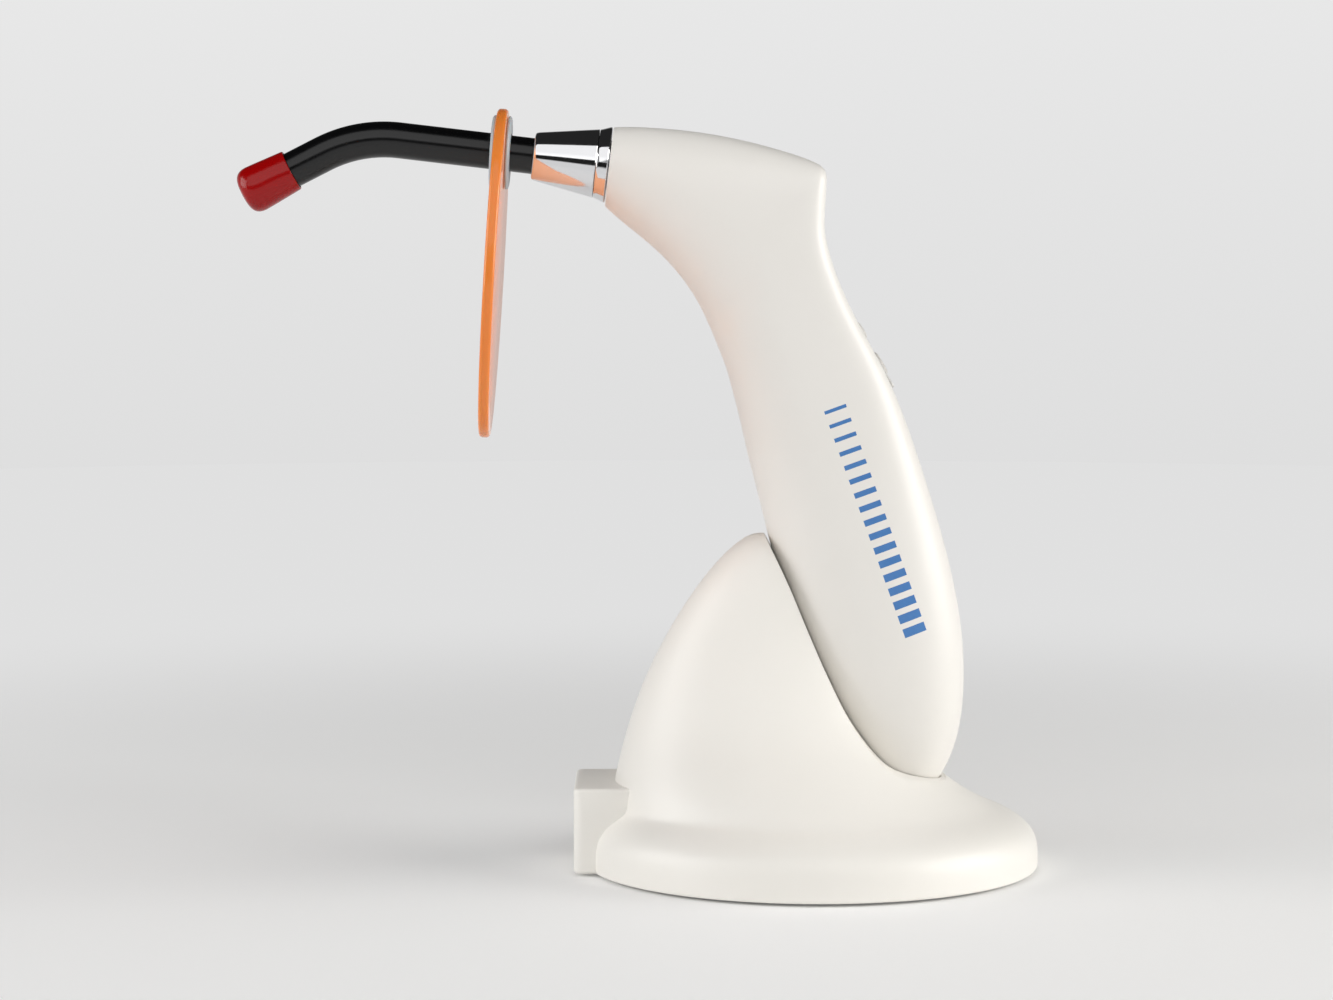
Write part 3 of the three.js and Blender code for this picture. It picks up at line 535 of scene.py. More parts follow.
def level_loft(name, levels):
    """A closed form made by extruding one level section after another."""
    z, left, right, half = levels[0]
    middle = Vector(((left + right) / 2, 0, z)) * MM
    piece = add("circle", name, vertices=LEVEL_SIDES, radius=1, location=(0, 0, 0))
    edit(piece)
    scale = MM / LEVEL_SHRINK
    bpy.ops.transform.resize(value=((right - left) / 2 * scale, half * scale, 1), center_override=(0, 0, 0))
    bpy.ops.transform.translate(value=middle)
    bpy.ops.mesh.edge_face_add()
    for step in range(1, len(levels)):
        last_z, last_left, last_right, last_half = levels[step - 1]
        z, left, right, half = levels[step]
        move = Vector(((left + right - last_left - last_right) / 2, 0, z - last_z)) * MM
        bpy.ops.mesh.extrude_region_move(TRANSFORM_OT_translate={"value": move})
        growth = ((right - left) / (last_right - last_left), half / last_half, 1)
        bpy.ops.transform.resize(value=growth, center_override=Vector(((left + right) / 2, 0, z)) * MM)
    bpy.ops.mesh.select_all(action="SELECT")
    bpy.ops.mesh.normals_make_consistent(inside=False)
    leave()
    settle(piece)
    subdivide(piece)
    return piece


def inset_levels(inset, lowest):
    """The stand's sections drawn in by a wall, from a lowest height up."""
    inner = [(z - inset, left + inset, right - inset, half - inset)
             for z, left, right, half in STAND_LEVELS if half > inset + 1.5 and z > 3]
    return [(lowest, *inner[0][1:]), (lowest + 0.6, *inner[0][1:])] + inner


# %% Cutting plates with a flowing outline


def flowing(points, steps=8):
    """A smooth line through a few points, as flat (x, z) pairs."""
    knots = [Vector((x, 0, z)) for x, z in points]
    line = []
    for i in range(len(knots) - 1):
        before, here, there = knots[max(i - 1, 0)], knots[i], knots[i + 1]
        after = knots[min(i + 2, len(knots) - 1)]
        handles = (here + (there - before) / 6, there - (after - here) / 6)
        line += interpolate_bezier(here, *handles, there, steps)[:-1]
    return [(p.x, p.z) for p in line] + [points[-1]]


def outline_plate(name, points, half_width):
    """A plate whose edge is drawn one extruded step after another, in the plane of the nose and grip."""
    piece = add("plane", name, size=MM, location=(0, 0, 0))
    edit(piece)
    bpy.ops.mesh.merge(type="CENTER")
    pen = Vector()
    for number, (x, z) in enumerate(points):
        target = Vector((x, -half_width, z)) * MM
        if number == 0:
            bpy.ops.transform.translate(value=target)
        else:
            bpy.ops.mesh.extrude_region_move(TRANSFORM_OT_translate={"value": target - pen})
        pen = target
    bpy.ops.mesh.select_all(action="SELECT")
    bpy.ops.mesh.edge_face_add()
    bpy.ops.mesh.extrude_region_move(TRANSFORM_OT_translate={"value": (0, 2 * half_width * MM, 0)})
    bpy.ops.mesh.select_all(action="SELECT")
    bpy.ops.mesh.normals_make_consistent(inside=False)
    leave()
    settle(piece)
    return piece


# The cradle's open edge from its top down to the foot
CRADLE_EDGE = [
    (-13.6, 86.5), (-7.8, 74.5), (-2.9, 62.8), (2.2, 51.2),
    (8.0, 39.8), (14.9, 30.6), (21.0, 26.4), (33.0, 23.6),
]
FAR = 120


def open_side(name, shift=0.0):
    edge = flowing([(x - shift, z) for x, z in CRADLE_EDGE])
    top = (edge[0][0] - 3, FAR)
    return outline_plate(name, [top, *edge, (FAR, edge[-1][1]), (FAR, FAR)], 70)


# %% The stand: outside, open side, inlet block, hollow and pocket
STAND_WALL = 2.6
POCKET_GAP = 0.4
POCKET_FLOOR = 19.6
INLET_SIZE = (22.5, 34, 22)
INLET_AT = Vector((-51.25, 0, 11.8)) * MM
INLET_ROOM = ((26, 29, 17), Vector((-47, 0, 11)) * MM)
JACK_AT = Vector((-62.5, 0, 11.5)) * MM
JACK_HOLE = 3.9
PIN_HOLE = 1.4

stand = level_loft("stand_body", STAND_LEVELS)
tell(stand)
inlet = block("inlet_block", INLET_SIZE, INLET_AT, corner=2.2)
soften(inlet, 1.0, 4, 50)
carve(stand, open_side("open_side"))
carve(stand, inlet, "UNION")
tell(stand)

hollow = level_loft("hollow", inset_levels(STAND_WALL, -1))
carve(hollow, block("inlet_room", *INLET_ROOM), "UNION")
carve(hollow, open_side("inner_side", STAND_WALL + 0.6))
carve(hollow, grown(casing, "pocket_wall", POCKET_GAP + WALL))
carve(stand, hollow)
tell(stand)

pocket = grown(casing, "pocket", POCKET_GAP)
bpy.data.objects.remove(casing, do_unlink=True)
cut_flat(pocket, (0, 0, POCKET_FLOOR * MM), (0, 0, -1))
carve(stand, pocket)
carve(stand, rod("jack_hole", JACK_HOLE, -1, 4, JACK_AT, TO_RIGHT, 64))
for side in (-1, 1):
    carve(stand, rod("pin_hole", PIN_HOLE, 12, 20, contact_spot(side), UP, 32))
tell(stand)

# %% [markdown]
# ## Under the foot
# A flat plate closes the foot from below, held by four screws, and a rubber pad with shallow rings
# keeps it from sliding. Both are turned. The screws all come from one screw function, turned one by one.

# %% Bottom plate and pad
PLATE_SCREW_R = 48.4
plate_spots = [
    Vector((math.cos(math.radians(a)), math.sin(math.radians(a)), 0)) * PLATE_SCREW_R * MM
    for a in (45, 135, 225, 315)
]
plate = turn_on_lathe("under_plate", [
    (1.5, 53.4), (2.9, 53.4), (3.2, 53.1), (3.2, 0.5), (1.6, 0.5), (1.6, 44.0), (1.2, 44.5), (1.2, 52.6),
    (1.5, 52.9),
], Vector(), UP, 128)
for spot in plate_spots:
    carve(plate, rod("plate_hole", 1.8, 0, 9, spot, UP))
    carve(plate, rod("plate_sink", 3.2, 0, 2.2, spot, UP))
tell(plate)

pad_rows = [(0.9, 43.0), (0.15, 43.0), (0.0, 42.8)]
for ring in range(5):
    outer = 38 - 7 * ring
    pad_rows += [(0.0, outer), (0.35, outer - 0.5), (0.35, outer - 1.7), (0.0, outer - 2.2)]
pad = turn_on_lathe("grip_pad", pad_rows, Vector(), UP, 128)
tell(pad)

# %% Screws


def screw(name, at, direction, radius, height, shank, length):
    """A pan-head screw with a cross recess. Its head starts at a place and its shank runs on."""
    piece = turn_on_lathe(name, [
        (0.0, radius - 0.9), (0.05, radius - 0.5), (0.25, radius - 0.15), (0.5, radius), (height, radius),
        (height, shank), (length - 1.0, shank), (length, 0.2),
    ], at, direction, 40)
    sideways = direction.orthogonal().normalized()
    for turn in (sideways, direction.cross(sideways)):
        carve(piece, block("slot", (1.38 * radius, 0.5, 1.3), at, turn, direction))
    return piece


plate_screws = [screw(f"foot_screw_{number}", spot + 1.2 * MM * UP, UP, 2.8, 0.95, 1.4, 6)
                for number, spot in enumerate(plate_spots, 1)]
HEAD_OUT = (SCREW_HEAD_Y + 1.75) * MM * ACROSS
casing_screws = [screw(f"casing_screw_{number}", spot + HEAD_OUT, -ACROSS, 2.4, 1.7, 1.2, 14)
                 for number, spot in enumerate(spots, 1)]

# %% Power socket, charging pins and contacts
SOCKET_SIZE = (11, 9.2, 10)
socket = block("socket_body", SOCKET_SIZE, JACK_AT + 8 * MM * TO_RIGHT, corner=0.4)
carve(socket, rod("socket_nose", 3.5, 0.5, 3.5, JACK_AT, TO_RIGHT, 64), "UNION")
carve(socket, rod("socket_bore", 2.8, -1, 11.5, JACK_AT, TO_RIGHT, 64))
socket_pin = turn_on_lathe("socket_pin", [
    (2.0, 0.5), (2.3, 0.9), (2.6, 1.0), (14.5, 1.0),
], JACK_AT, TO_RIGHT, 32)
charge_pins, contacts = [], []
for number, side in enumerate((-1, 1), 1):
    spot = contact_spot(side)
    charge_pins.append(turn_on_lathe(f"sprung_pin_{number}", [
        (11.2, 0.85), (11.3, 0.9), (17.7, 0.9), (18.05, 0.8), (18.28, 0.58), (18.38, 0.3), (18.4, 0.1),
    ], spot, UP, 32))
    contacts.append(turn_on_lathe(f"contact_{number}", [
        (19.95, 1.55), (19.97, 1.7), (20.1, 1.8), (22.7, 1.8), (22.7, 2.4), (23.4, 2.4),
    ], spot, UP, 40))
for piece in (socket, socket_pin, *charge_pins, *contacts):
    tell(piece)

# %% [markdown]
# ## The nose
# A slim collar ring and a tapered nose are turned in brass and chromed. The guide plugs into the
# nose. The profiles have small rounded corners, because chrome shows every edge as a line of light.

# %% Collar and nose cone
collar = turn_on_lathe("collar", ringed([
    (0.0, 6.5), (0.0, 9.35), (0.08, 9.6), (0.3, 9.72), (2.2, 9.0), (2.9, 8.79), (3.0, 8.72), (3.0, 6.5),
]), NOSE_AT, NOSE, 128, closed=True)
cone = turn_on_lathe("chrome_nose", ringed([
    (3.2, 6.5), (3.2, 8.7), (3.28, 8.76), (8.0, 7.98), (13.0, 7.13), (18.4, 6.22), (18.95, 6.06),
    (19.2, 5.88), (19.3, 5.65), (19.3, 5.2), (19.15, 4.95), (9.6, 4.95), (9.6, 6.5),
]), NOSE_AT, NOSE, 128, closed=True)
tell(collar)
tell(cone)

# %% [markdown]
# ## The light guide
# The guide is a glass rod in a black sleeve, bent once near its end. A ring is extruded along the
# nose, spun round the bend's centre, and extruded again to its end, as the rod itself is drawn
# straight and bent round a former.

# %% Sweeping a rod along the guide's line
BEND_START = 53.7
BEND_RADIUS = 34.5
GUIDE_TIP = 19.8
bend_angle = NOSE.angle(TIP)
BEND_DOWN = NOSE.cross(ACROSS).normalized()
if BEND_DOWN.z > 0:
    BEND_DOWN.negate()
bend_at = NOSE_AT + BEND_START * MM * NOSE
bend_centre = bend_at + BEND_RADIUS * MM * BEND_DOWN
bend_end = bend_centre - BEND_RADIUS * MM * (BEND_DOWN * math.cos(bend_angle) - NOSE * math.sin(bend_angle))
print("bend ends at", [round(c / MM, 2) for c in bend_end])


def guide_rod(name, radius, bore, start, tip, sides=64):
    """A rod or tube that follows the guide's line from a distance on the nose to one past the bend."""
    piece = add("circle", name, vertices=sides, radius=radius * MM, location=(0, 0, 0))
    edit(piece)
    bpy.ops.mesh.edge_face_add()
    if bore:
        bpy.ops.mesh.inset(thickness=(radius - bore) * MM)
        bpy.ops.mesh.delete(type="FACE")
        bpy.ops.mesh.select_all(action="SELECT")
    leave()
    place(piece, NOSE_AT + start * MM * NOSE, NOSE)
    edit(piece, "FACE")
    straight = (BEND_START - start) * MM * NOSE
    bpy.ops.mesh.extrude_region_move(TRANSFORM_OT_translate={"value": straight})
    bpy.ops.mesh.spin(steps=28, angle=bend_angle, center=bend_centre, axis=ACROSS)
    bpy.ops.mesh.extrude_region_move(TRANSFORM_OT_translate={"value": tip * MM * TIP})
    bpy.ops.mesh.select_all(action="SELECT")
    bpy.ops.mesh.normals_make_consistent(inside=False)
    leave()
    settle(piece)
    return piece


sleeve = guide_rod("guide_tube", 4.6, 4.05, 10.3, GUIDE_TIP - 0.4)
soften(sleeve, 0.2, 3, 60)
core = guide_rod("guide_glass", 3.75, 0, 1.8, GUIDE_TIP)
soften(core, 0.2, 3, 60)
tell(sleeve)
tell(core)

# %% Ferrule, O-ring and the red cap
ferrule = turn_on_lathe("ferrule", ringed([
    (1.8, 4.05), (1.8, 4.4), (2.0, 4.6), (5.3, 4.6), (5.35, 4.5),
    (6.25, 4.5), (6.3, 4.6), (9.9, 4.6), (10.0, 4.5), (10.0, 4.05),
]), NOSE_AT, NOSE, 64, closed=True)
HOOP_R, HOOP_SECTION = 5.08, 0.33
turns = [k * math.pi / 6 for k in range(12)]
hoop = [(O_RING_S + HOOP_SECTION * math.cos(a), HOOP_R + HOOP_SECTION * math.sin(a)) for a in turns]
o_ring = turn_on_lathe("o_ring", ringed(hoop), NOSE_AT, NOSE, 64, closed=True)

CAP_FROM = 8.9
cap_mouth = bend_end + CAP_FROM * MM * TIP
cap = turn_on_lathe("red_cap", [
    (11.6, 4.85), (0.15, 4.85), (0.0, 4.95), (0.0, 5.15), (0.12, 5.3), (0.4, 5.38),
    (4.0, 5.62), (8.0, 5.88), (10.4, 6.0), (11.3, 5.92), (12.1, 5.69), (12.8, 5.28),
    (13.3, 4.73), (13.65, 4.04), (13.88, 3.15), (14.0, 2.1), (14.06, 1.0), (14.08, 0.3),
], cap_mouth, TIP, 96)
for piece in (ferrule, o_ring, cap):
    tell(piece)

# %% [markdown]
# ## The eye shield
# An oval plate of orange acrylic keeps the blue light out of the eyes. It hangs off centre on a
# silicone grommet that grips the sleeve. The plate is a circle scaled to an oval, extruded, its rim
# rounded, and a hole cut for the grommet. The rim is marked as its own surface, because the polished
# edge of coloured acrylic glows while its faces stay pale; that glow is a painted glow, a weak
# emission in its finish.

# %% Shield and grommet
SHIELD_HALF = (42.1, 28.5)
SHIELD_THICK = 2.75
SHIELD_DROP = 31
SHIELD_HOLE = 6.9
SHIELD_DOWN = SHIELD_OUT.cross(ACROSS).normalized()
if SHIELD_DOWN.z > 0:
    SHIELD_DOWN.negate()

shield = add("circle", "orange_shield", vertices=160, radius=1, location=(0, 0, 0))
edit(shield, "EDGE")
bpy.ops.transform.resize(value=(SHIELD_HALF[0] * MM, SHIELD_HALF[1] * MM, 1), center_override=(0, 0, 0))
bpy.ops.transform.translate(value=(0, 0, -SHIELD_THICK / 2 * MM))
bpy.ops.mesh.edge_face_add()
bpy.ops.mesh.extrude_region_move(TRANSFORM_OT_translate={"value": (0, 0, SHIELD_THICK * MM)})
bpy.ops.mesh.select_all(action="SELECT")
bpy.ops.mesh.normals_make_consistent(inside=False)
leave()
settle(shield)
soften(shield, 0.9, 5, 50)
shield.matrix_world = Matrix.Translation(SHIELD_AT + SHIELD_DROP * MM * SHIELD_DOWN) @ Matrix(
    (SHIELD_DOWN, SHIELD_OUT.cross(SHIELD_DOWN), SHIELD_OUT)).transposed().to_4x4()
settle(shield)
carve(shield, rod("shield_hole", SHIELD_HOLE, -3, 3, SHIELD_AT, SHIELD_OUT, 96))
tell(shield)

grommet = turn_on_lathe("silicone_grommet", ringed([
    (-2.5, 4.95), (-2.52, 8.3), (-2.45, 8.8), (-2.2, 9.2), (-1.9, 9.38), (-1.6, 9.3), (-1.52, 9.1),
    (-1.52, 6.6), (1.52, 6.6),
    (1.52, 9.1), (1.6, 9.3), (1.9, 9.38), (2.2, 9.2), (2.45, 8.8), (2.52, 8.3), (2.5, 4.95),
]), SHIELD_AT, SHIELD_OUT, 96, closed=True)
tell(grommet)

# %% [markdown]
# # Finishes
# Each finish is a small tree of shader nodes round one Principled shader. The `Wire` class lets an
# expression such as `(1 - mask) * grain` build the Math nodes that it needs, and `Tree.node` makes
# every other node. A value that is the same all over is set on the shader itself.

# %% The classes that finishes are written with


class Wire:
    """An output socket that can be used in a sum."""

    def __init__(self, tree, socket):
        self.tree = tree
        self.socket = socket

    def maths(self, operation, *operands):
        return self.tree.node("ShaderNodeMath", {"operation": operation}, dict(enumerate(operands)))

    def __add__(self, other):
        return self.maths("ADD", self, other)

    def __sub__(self, other):
        return self.maths("SUBTRACT", self, other)

    def __rsub__(self, other):
        return self.maths("SUBTRACT", other, self)

    def __mul__(self, other):
        return self.maths("MULTIPLY", self, other)

    def __lt__(self, other):
        return self.maths("LESS_THAN", self, other)

    def __gt__(self, other):
        return self.maths("GREATER_THAN", self, other)

    def __abs__(self):
        return self.maths("ABSOLUTE", self)

    def __floor__(self):
        return self.maths("FLOOR", self)

    __radd__ = __add__
    __rmul__ = __mul__


class Tree:
    """A node tree, with the one method that adds nodes to it."""

    def __init__(self, tree):
        self.tree = tree

    def feed(self, node, inputs):
        for key, value in inputs.items():
            if isinstance(value, Wire):
                self.tree.links.new(value.socket, node.inputs[key])
            else:
                node.inputs[key].default_value = value

    def node(self, kind, settings=None, inputs=None, output=0):
        made = self.tree.nodes.new(kind)
        for key, value in (settings or {}).items():
            setattr(made, key, value)
        self.feed(made, inputs or {})
        return Wire(self, made.outputs[output])


class Finish(Tree):
    """A material that is built up from nodes round its Principled shader."""

    def __init__(self, name, **fixed):
        self.material = bpy.data.materials.new(name)
        self.material.use_nodes = True
        super().__init__(self.material.node_tree)
        self.shader = self.tree.nodes["Principled BSDF"]
        self.feed(self.shader, {key.replace("_", " "): value for key, value in fixed.items()})
        self.here = self.node("ShaderNodeTexCoord", output="Object")

    def noise(self, scale, detail=2.0):
        """Cloudy values from 0 to 1. The scale is the number of clouds in a metre."""
        return self.node("ShaderNodeTexNoise", None,
                         {"Vector": self.here, "Scale": scale, "Detail": detail})

    def mix(self, share, one, other):
        return self.node("ShaderNodeMix", {"data_type": "RGBA"}, {0: share, 6: one, 7: other}, 2)

    def bump(self, height, depth):
        """A fine relief. The depth is in millimetres."""
        return self.node("ShaderNodeBump", None, {"Height": height, "Distance": depth * MM})

    def along(self, direction, at=(0.0, 0.0, 0.0)):
        """Distance of each place along a direction from a starting place, in metres."""
        moved = self.node("ShaderNodeVectorMath", {"operation": "SUBTRACT"}, {0: self.here, 1: at})
        dot = {"operation": "DOT_PRODUCT"}
        return self.node("ShaderNodeVectorMath", dot, {0: moved, 1: direction}, "Value")

    def show(self, **varying):
        self.feed(self.shader, {key.replace("_", " "): value for key, value in varying.items()})
        return self.material


def paint(red, green, blue, share=1.0):
    """A colour as a screen shows it, 0 to 255, turned into the light values that shaders use."""
    return tuple(share * (c / 255) ** 2.2 for c in (red, green, blue)) + (1.0,)


# %% [markdown]
# ## Moulded plastics
# Injection moulded plastic is even, but never flat: the tool's fine spark texture gives a satin
# sheen, and the colour and gloss drift a little over a large wall. One recipe covers the casing, the
# stand, the panel and the black parts, with its own colour, gloss and grain.

# %% Moulded plastic


def moulded(name, light, dark, gloss, grain=1500.0, relief=0.006, drift=0.08, **fixed):
    finish = Finish(name, **fixed)
    clouds = finish.noise(38.0, 3.0)
    texture = finish.noise(grain, 3.0)
    finish.show(
        Base_Color=finish.mix(clouds, dark, light),
        Roughness=gloss - drift / 2 + drift * clouds + 0.05 * texture,
        Normal=finish.bump(texture, relief),
    )
    return finish


CASING_LIGHT, CASING_DARK = paint(237, 234, 229), paint(232, 229, 223)
CASING_GLOSS = 0.33
stand_plastic = moulded("stand plastic", paint(242, 239, 233), paint(238, 235, 228), 0.36,
                        IOR=1.5, Coat_Roughness=0.2).material
casing_plain = moulded("casing plastic", CASING_LIGHT, CASING_DARK, CASING_GLOSS, IOR=1.5).material
panel_plastic = moulded("soft grey panel", paint(205, 204, 200), paint(196, 195, 191), 0.55,
                        2200.0, 0.012).material
key_rubber = moulded("key rubber", paint(206, 203, 198), paint(198, 195, 190), 0.5,
                     1800.0, 0.008).material
black_moulding = moulded("black moulding", paint(34, 34, 36), paint(26, 26, 28), 0.45,
                         1200.0, 0.02).material
print("plastics:", stand_plastic.name, casing_plain.name, panel_plastic.name)

# %% [markdown]
# ## The blue accent on the casing
# A row of slim blue bars is printed down the left side of the grip, each a little thicker than the
# one before. Two distances are measured in the plane of the grip: down the row and across it. The
# bar's number is the whole part of the distance down the row, and its thickness grows with it.

# %% Blue bars
BARS_FROM = Vector((3.7, 0, 120.0)) * MM
BARS_TO = Vector((25.0, 0, 61.1)) * MM
BAR_COUNT = 17
BAR_HALF_LENGTH = 2.9 * MM
THIN_SHARE, THICK_SHARE = 0.24, 0.66


def casing_with_bars():
    finish = moulded("casing plastic with blue bars", CASING_LIGHT, CASING_DARK, CASING_GLOSS, IOR=1.5)
    row = BARS_TO - BARS_FROM
    down = row.normalized()
    pitch = row.length / BAR_COUNT
    steps = finish.along(down, BARS_FROM) * (1 / pitch)
    number = math.floor(steps)
    thickness = number * ((THICK_SHARE - THIN_SHARE) / BAR_COUNT) + THIN_SHARE
    across = finish.along(down.cross(ACROSS), BARS_FROM)
    in_row = (steps > 0) * (steps < BAR_COUNT)
    mask = ((steps - number) < thickness) * in_row * (abs(across) < BAR_HALF_LENGTH)
    plastic = finish.shader.inputs["Base Color"].links[0].from_socket
    ink = finish.mix(finish.noise(300.0), paint(66, 116, 180), paint(80, 130, 190))
    return finish.show(
        Base_Color=finish.mix(mask, Wire(finish, plastic), ink),
        Roughness=0.36 - 0.1 * mask,
    )


casing_printed = casing_with_bars()
print("bars:", BAR_COUNT, "over", round((BARS_TO - BARS_FROM).length / MM, 1), "mm")

# %% [markdown]
# ## Red cap, black guide, silicone and rubber
# The cap is a glossy silicone, deep red with a soft skin. The guide's sleeve is black with a fine
# satin. The grommet is milky grey silicone that lets some light in, so it has a little subsurface.

# %% Soft and glossy plastics
red_silicone = moulded("red silicone", paint(156, 4, 8), paint(142, 1, 4), 0.18, 900.0, 0.004, 0.06,
                       IOR=1.42).material
guide_black = moulded("black sleeve", paint(16, 16, 17), paint(10, 10, 11), 0.19, 700.0, 0.003, 0.06,
                      IOR=1.5).material
grey_silicone = moulded("grey silicone", paint(176, 181, 184), paint(166, 171, 174), 0.38, 1100.0, 0.006,
                        Subsurface_Weight=0.15, Subsurface_Scale=0.002).material
black_rubber = moulded("black rubber", paint(40, 40, 41), paint(30, 30, 31), 0.85, 900.0, 0.05).material
print("soft finishes:", red_silicone.name, guide_black.name, grey_silicone.name, black_rubber.name)

# %% [markdown]
# ## Metals
# Turned metal carries fine rings from the tool, even under chrome, so its relief is a noise that is
# stretched round the axis: it reads only the distance along the nose. Sheet and screw steel has a
# plain fine grain instead.

# %% Chrome and other metals


def turned_metal(name, colour, roughness, relief, direction):
    finish = Finish(name, Metallic=1.0)
    rings = finish.node("ShaderNodeTexNoise", {"noise_dimensions": "1D"},
                        {"W": finish.along(direction), "Scale": 2600.0, "Detail": 2.0})
    smudges = finish.noise(160.0, 3.0)
    finish.show(
        Base_Color=finish.mix(smudges, colour, tuple(0.94 * c for c in colour[:3]) + (1.0,)),
        Roughness=roughness + 0.05 * smudges,
        Normal=finish.bump(rings, relief),
    )
    return finish.material


def plain_metal(name, light, dark, roughness, grain=1400.0):
    return moulded(name, light, dark, roughness, grain, 0.01, 0.1, Metallic=1.0).material


chrome = turned_metal("chrome", paint(236, 236, 238), 0.05, 0.0004, NOSE)
aluminium = turned_metal("turned aluminium", paint(205, 207, 210), 0.3, 0.003, NOSE)
ferrule_steel = turned_metal("turned steel", paint(190, 192, 196), 0.22, 0.002, NOSE)
steel = plain_metal("steel", paint(178, 180, 184), paint(160, 162, 166), 0.32)
brass = plain_metal("gold-plated brass", paint(226, 190, 104), paint(206, 166, 80), 0.24)
print("metals:", chrome.name, aluminium.name, steel.name, brass.name)

# %% [markdown]
# ## Orange acrylic
# The shield is cast acrylic. Light travels inside the sheet and leaves at its rim, which looks deep
# orange, while the faces mirror the pale room and show little of their own colour. The faces and the
# rim are therefore two finishes, and the rim faces are picked by their normal. The faces' pale base
# colour is partly the sheet's tint and partly a painted reflection of the pale room, and the weak
# emission of both finishes is a painted glow of the light inside the sheet.

# %% Shield faces and rim


def acrylic(name, light, dark, clear, gloss, **fixed):
    finish = Finish(name, IOR=1.49, Transmission_Weight=clear, **fixed)
    clouds = finish.noise(45.0, 2.0)
    scuffs = finish.noise(420.0, 4.0)
    finish.show(
        Base_Color=finish.mix(clouds, light, dark),
        Roughness=gloss + 0.06 * scuffs,
        Normal=finish.bump(scuffs, 0.001),
    )
    return finish.material


# Painted glow: the faces' weak emission stands in for light carried inside the sheet, and their pale base
# colour is partly a painted reflection of the room.
shield_face = acrylic("orange acrylic face", paint(255, 194, 146), paint(252, 184, 132), 0.55, 0.05,
                      Emission_Color=paint(255, 158, 120), Emission_Strength=0.1)
# Painted glow: the rim's emission stands in for the light that leaves the polished edge.
shield_rim = acrylic("orange acrylic rim", paint(236, 146, 72), paint(224, 126, 48), 0.15, 0.12,
                     Subsurface_Weight=0.2, Subsurface_Scale=0.004, Emission_Color=paint(255, 120, 40),
                     Emission_Strength=0.03)
clear_glass = acrylic("clear glass", paint(238, 244, 246), paint(228, 238, 242), 0.9, 0.02)
dark_glass = acrylic("dark display glass", paint(22, 24, 28), paint(14, 15, 18), 0.0, 0.06, Coat_Weight=0.6)
print("clear finishes:", shield_face.name, shield_rim.name)

# %% [markdown]
# ## Electronics
# The circuit boards are green solder mask over copper tracks: a stepped noise on two scales gives
# islands and thin lines that are lighter than the mask. The cell has a shrink-wrap sleeve.

# %% Boards and cell wrap


def board_finish():
    finish = Finish("circuit board", IOR=1.5)
    islands = finish.node("ShaderNodeTexVoronoi", {"feature": "DISTANCE_TO_EDGE"},
                          {"Vector": finish.here, "Scale": 420.0}, "Distance")
    tracks = islands < 0.08
    weave = finish.noise(2000.0)
    return finish.show(
        Base_Color=finish.mix(tracks, paint(28, 92, 52), paint(58, 132, 74)),
        Roughness=0.3 + 0.2 * weave,
        Normal=finish.bump(tracks + 0.3 * weave, 0.03),
    )


circuit_green = board_finish()
cell_wrap = moulded("cell wrap", paint(52, 112, 176), paint(40, 94, 156), 0.3, 240.0, 0.05).material
print("electronics:", circuit_green.name, cell_wrap.name)

# %% [markdown]
# ## Putting pieces, finishes and bodies together
# Every new piece rides on a body of the frame, hides the frame's nodes that it stands for, and takes
# one of the finishes made above. The frame's own inner parts stay as they are and only get a finish.

# %% Dress the new pieces


def dress(piece, body, slot, finish, *nodes):
    piece.data.materials.clear()
    piece.data.materials.append(finish)
    smooth(piece)
    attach(piece, body)
    if nodes:
        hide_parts(*nodes)


dress(casing_left, "handpiece", "casing_white", casing_printed, "handle_shell_left")
dress(casing_right, "handpiece", "casing_white", casing_plain, "handle_shell_right")
dress(panel, "handpiece", "panel_grey", panel_plastic, "key_panel")
dress(window, "handpiece", "dark_window", dark_glass, "display_window")
for body, piece in key_pieces.items():
    dress(piece, body, "key_white", key_rubber, body)
dress(stand, "stand", "stand_white", stand_plastic, "base_housing")
dress(plate, "stand", "panel_grey", panel_plastic, "bottom_plate")
dress(pad, "stand", "pad_rubber", black_rubber, "foot_pad")
dress(socket, "stand", "black_plastic", black_moulding, "dc_jack")
dress(socket_pin, "stand", "brass", brass, "dc_jack_pin")
for number, piece in enumerate(plate_screws, 1):
    dress(piece, "stand", "steel", steel, f"plate_screw_{number}")
for number, piece in enumerate(casing_screws, 1):
    dress(piece, "handpiece", "steel", steel, f"shell_screw_{number}")
for number in (1, 2):
    dress(charge_pins[number - 1], f"charge_pin_{number}", "brass", brass, f"charge_pin_{number}")
    dress(contacts[number - 1], "handpiece", "brass", brass, f"contact_plate_{number}")
dress(collar, "handpiece", "chrome", chrome, "collar_ring")
dress(cone, "handpiece", "chrome", chrome, "nose_cone")
dress(sleeve, "light_guide", "guide_black", guide_black, "guide_sleeve")
dress(core, "light_guide", "clear_glass", clear_glass, "guide_core")
dress(ferrule, "light_guide", "steel", ferrule_steel, "guide_ferrule")
dress(o_ring, "guide_ring", "pad_rubber", black_rubber, "guide_o_ring")
dress(cap, "tip_cap", "cap_red", red_silicone, "tip_cap")
dress(grommet, "shield_grommet", "grommet_silicone", grey_silicone, "shield_grommet")
dress(shield, "eye_shield", "shield_orange", shield_face, "eye_shield")
shield.data.materials.append(shield_rim)
for face in shield.data.polygons:
    from_hole = (face.center - SHIELD_AT).length > 10 * MM
    if abs(face.normal.dot(SHIELD_OUT)) < 0.97 and from_hole:
        face.material_index = 1
# The two faces in the joint between collar and cone take the dull black rubber finish. This is painted
# shade, so the narrow gap reads as a thin dark line.
for piece in (collar, cone):
    piece.data.materials.append(black_rubber)
    for face in piece.data.polygons:
        along_nose = (face.center - NOSE_AT).dot(NOSE) / MM
        if abs(face.normal.dot(NOSE)) > 0.95 and 2.9 < along_nose < 3.3:
            face.material_index = 1

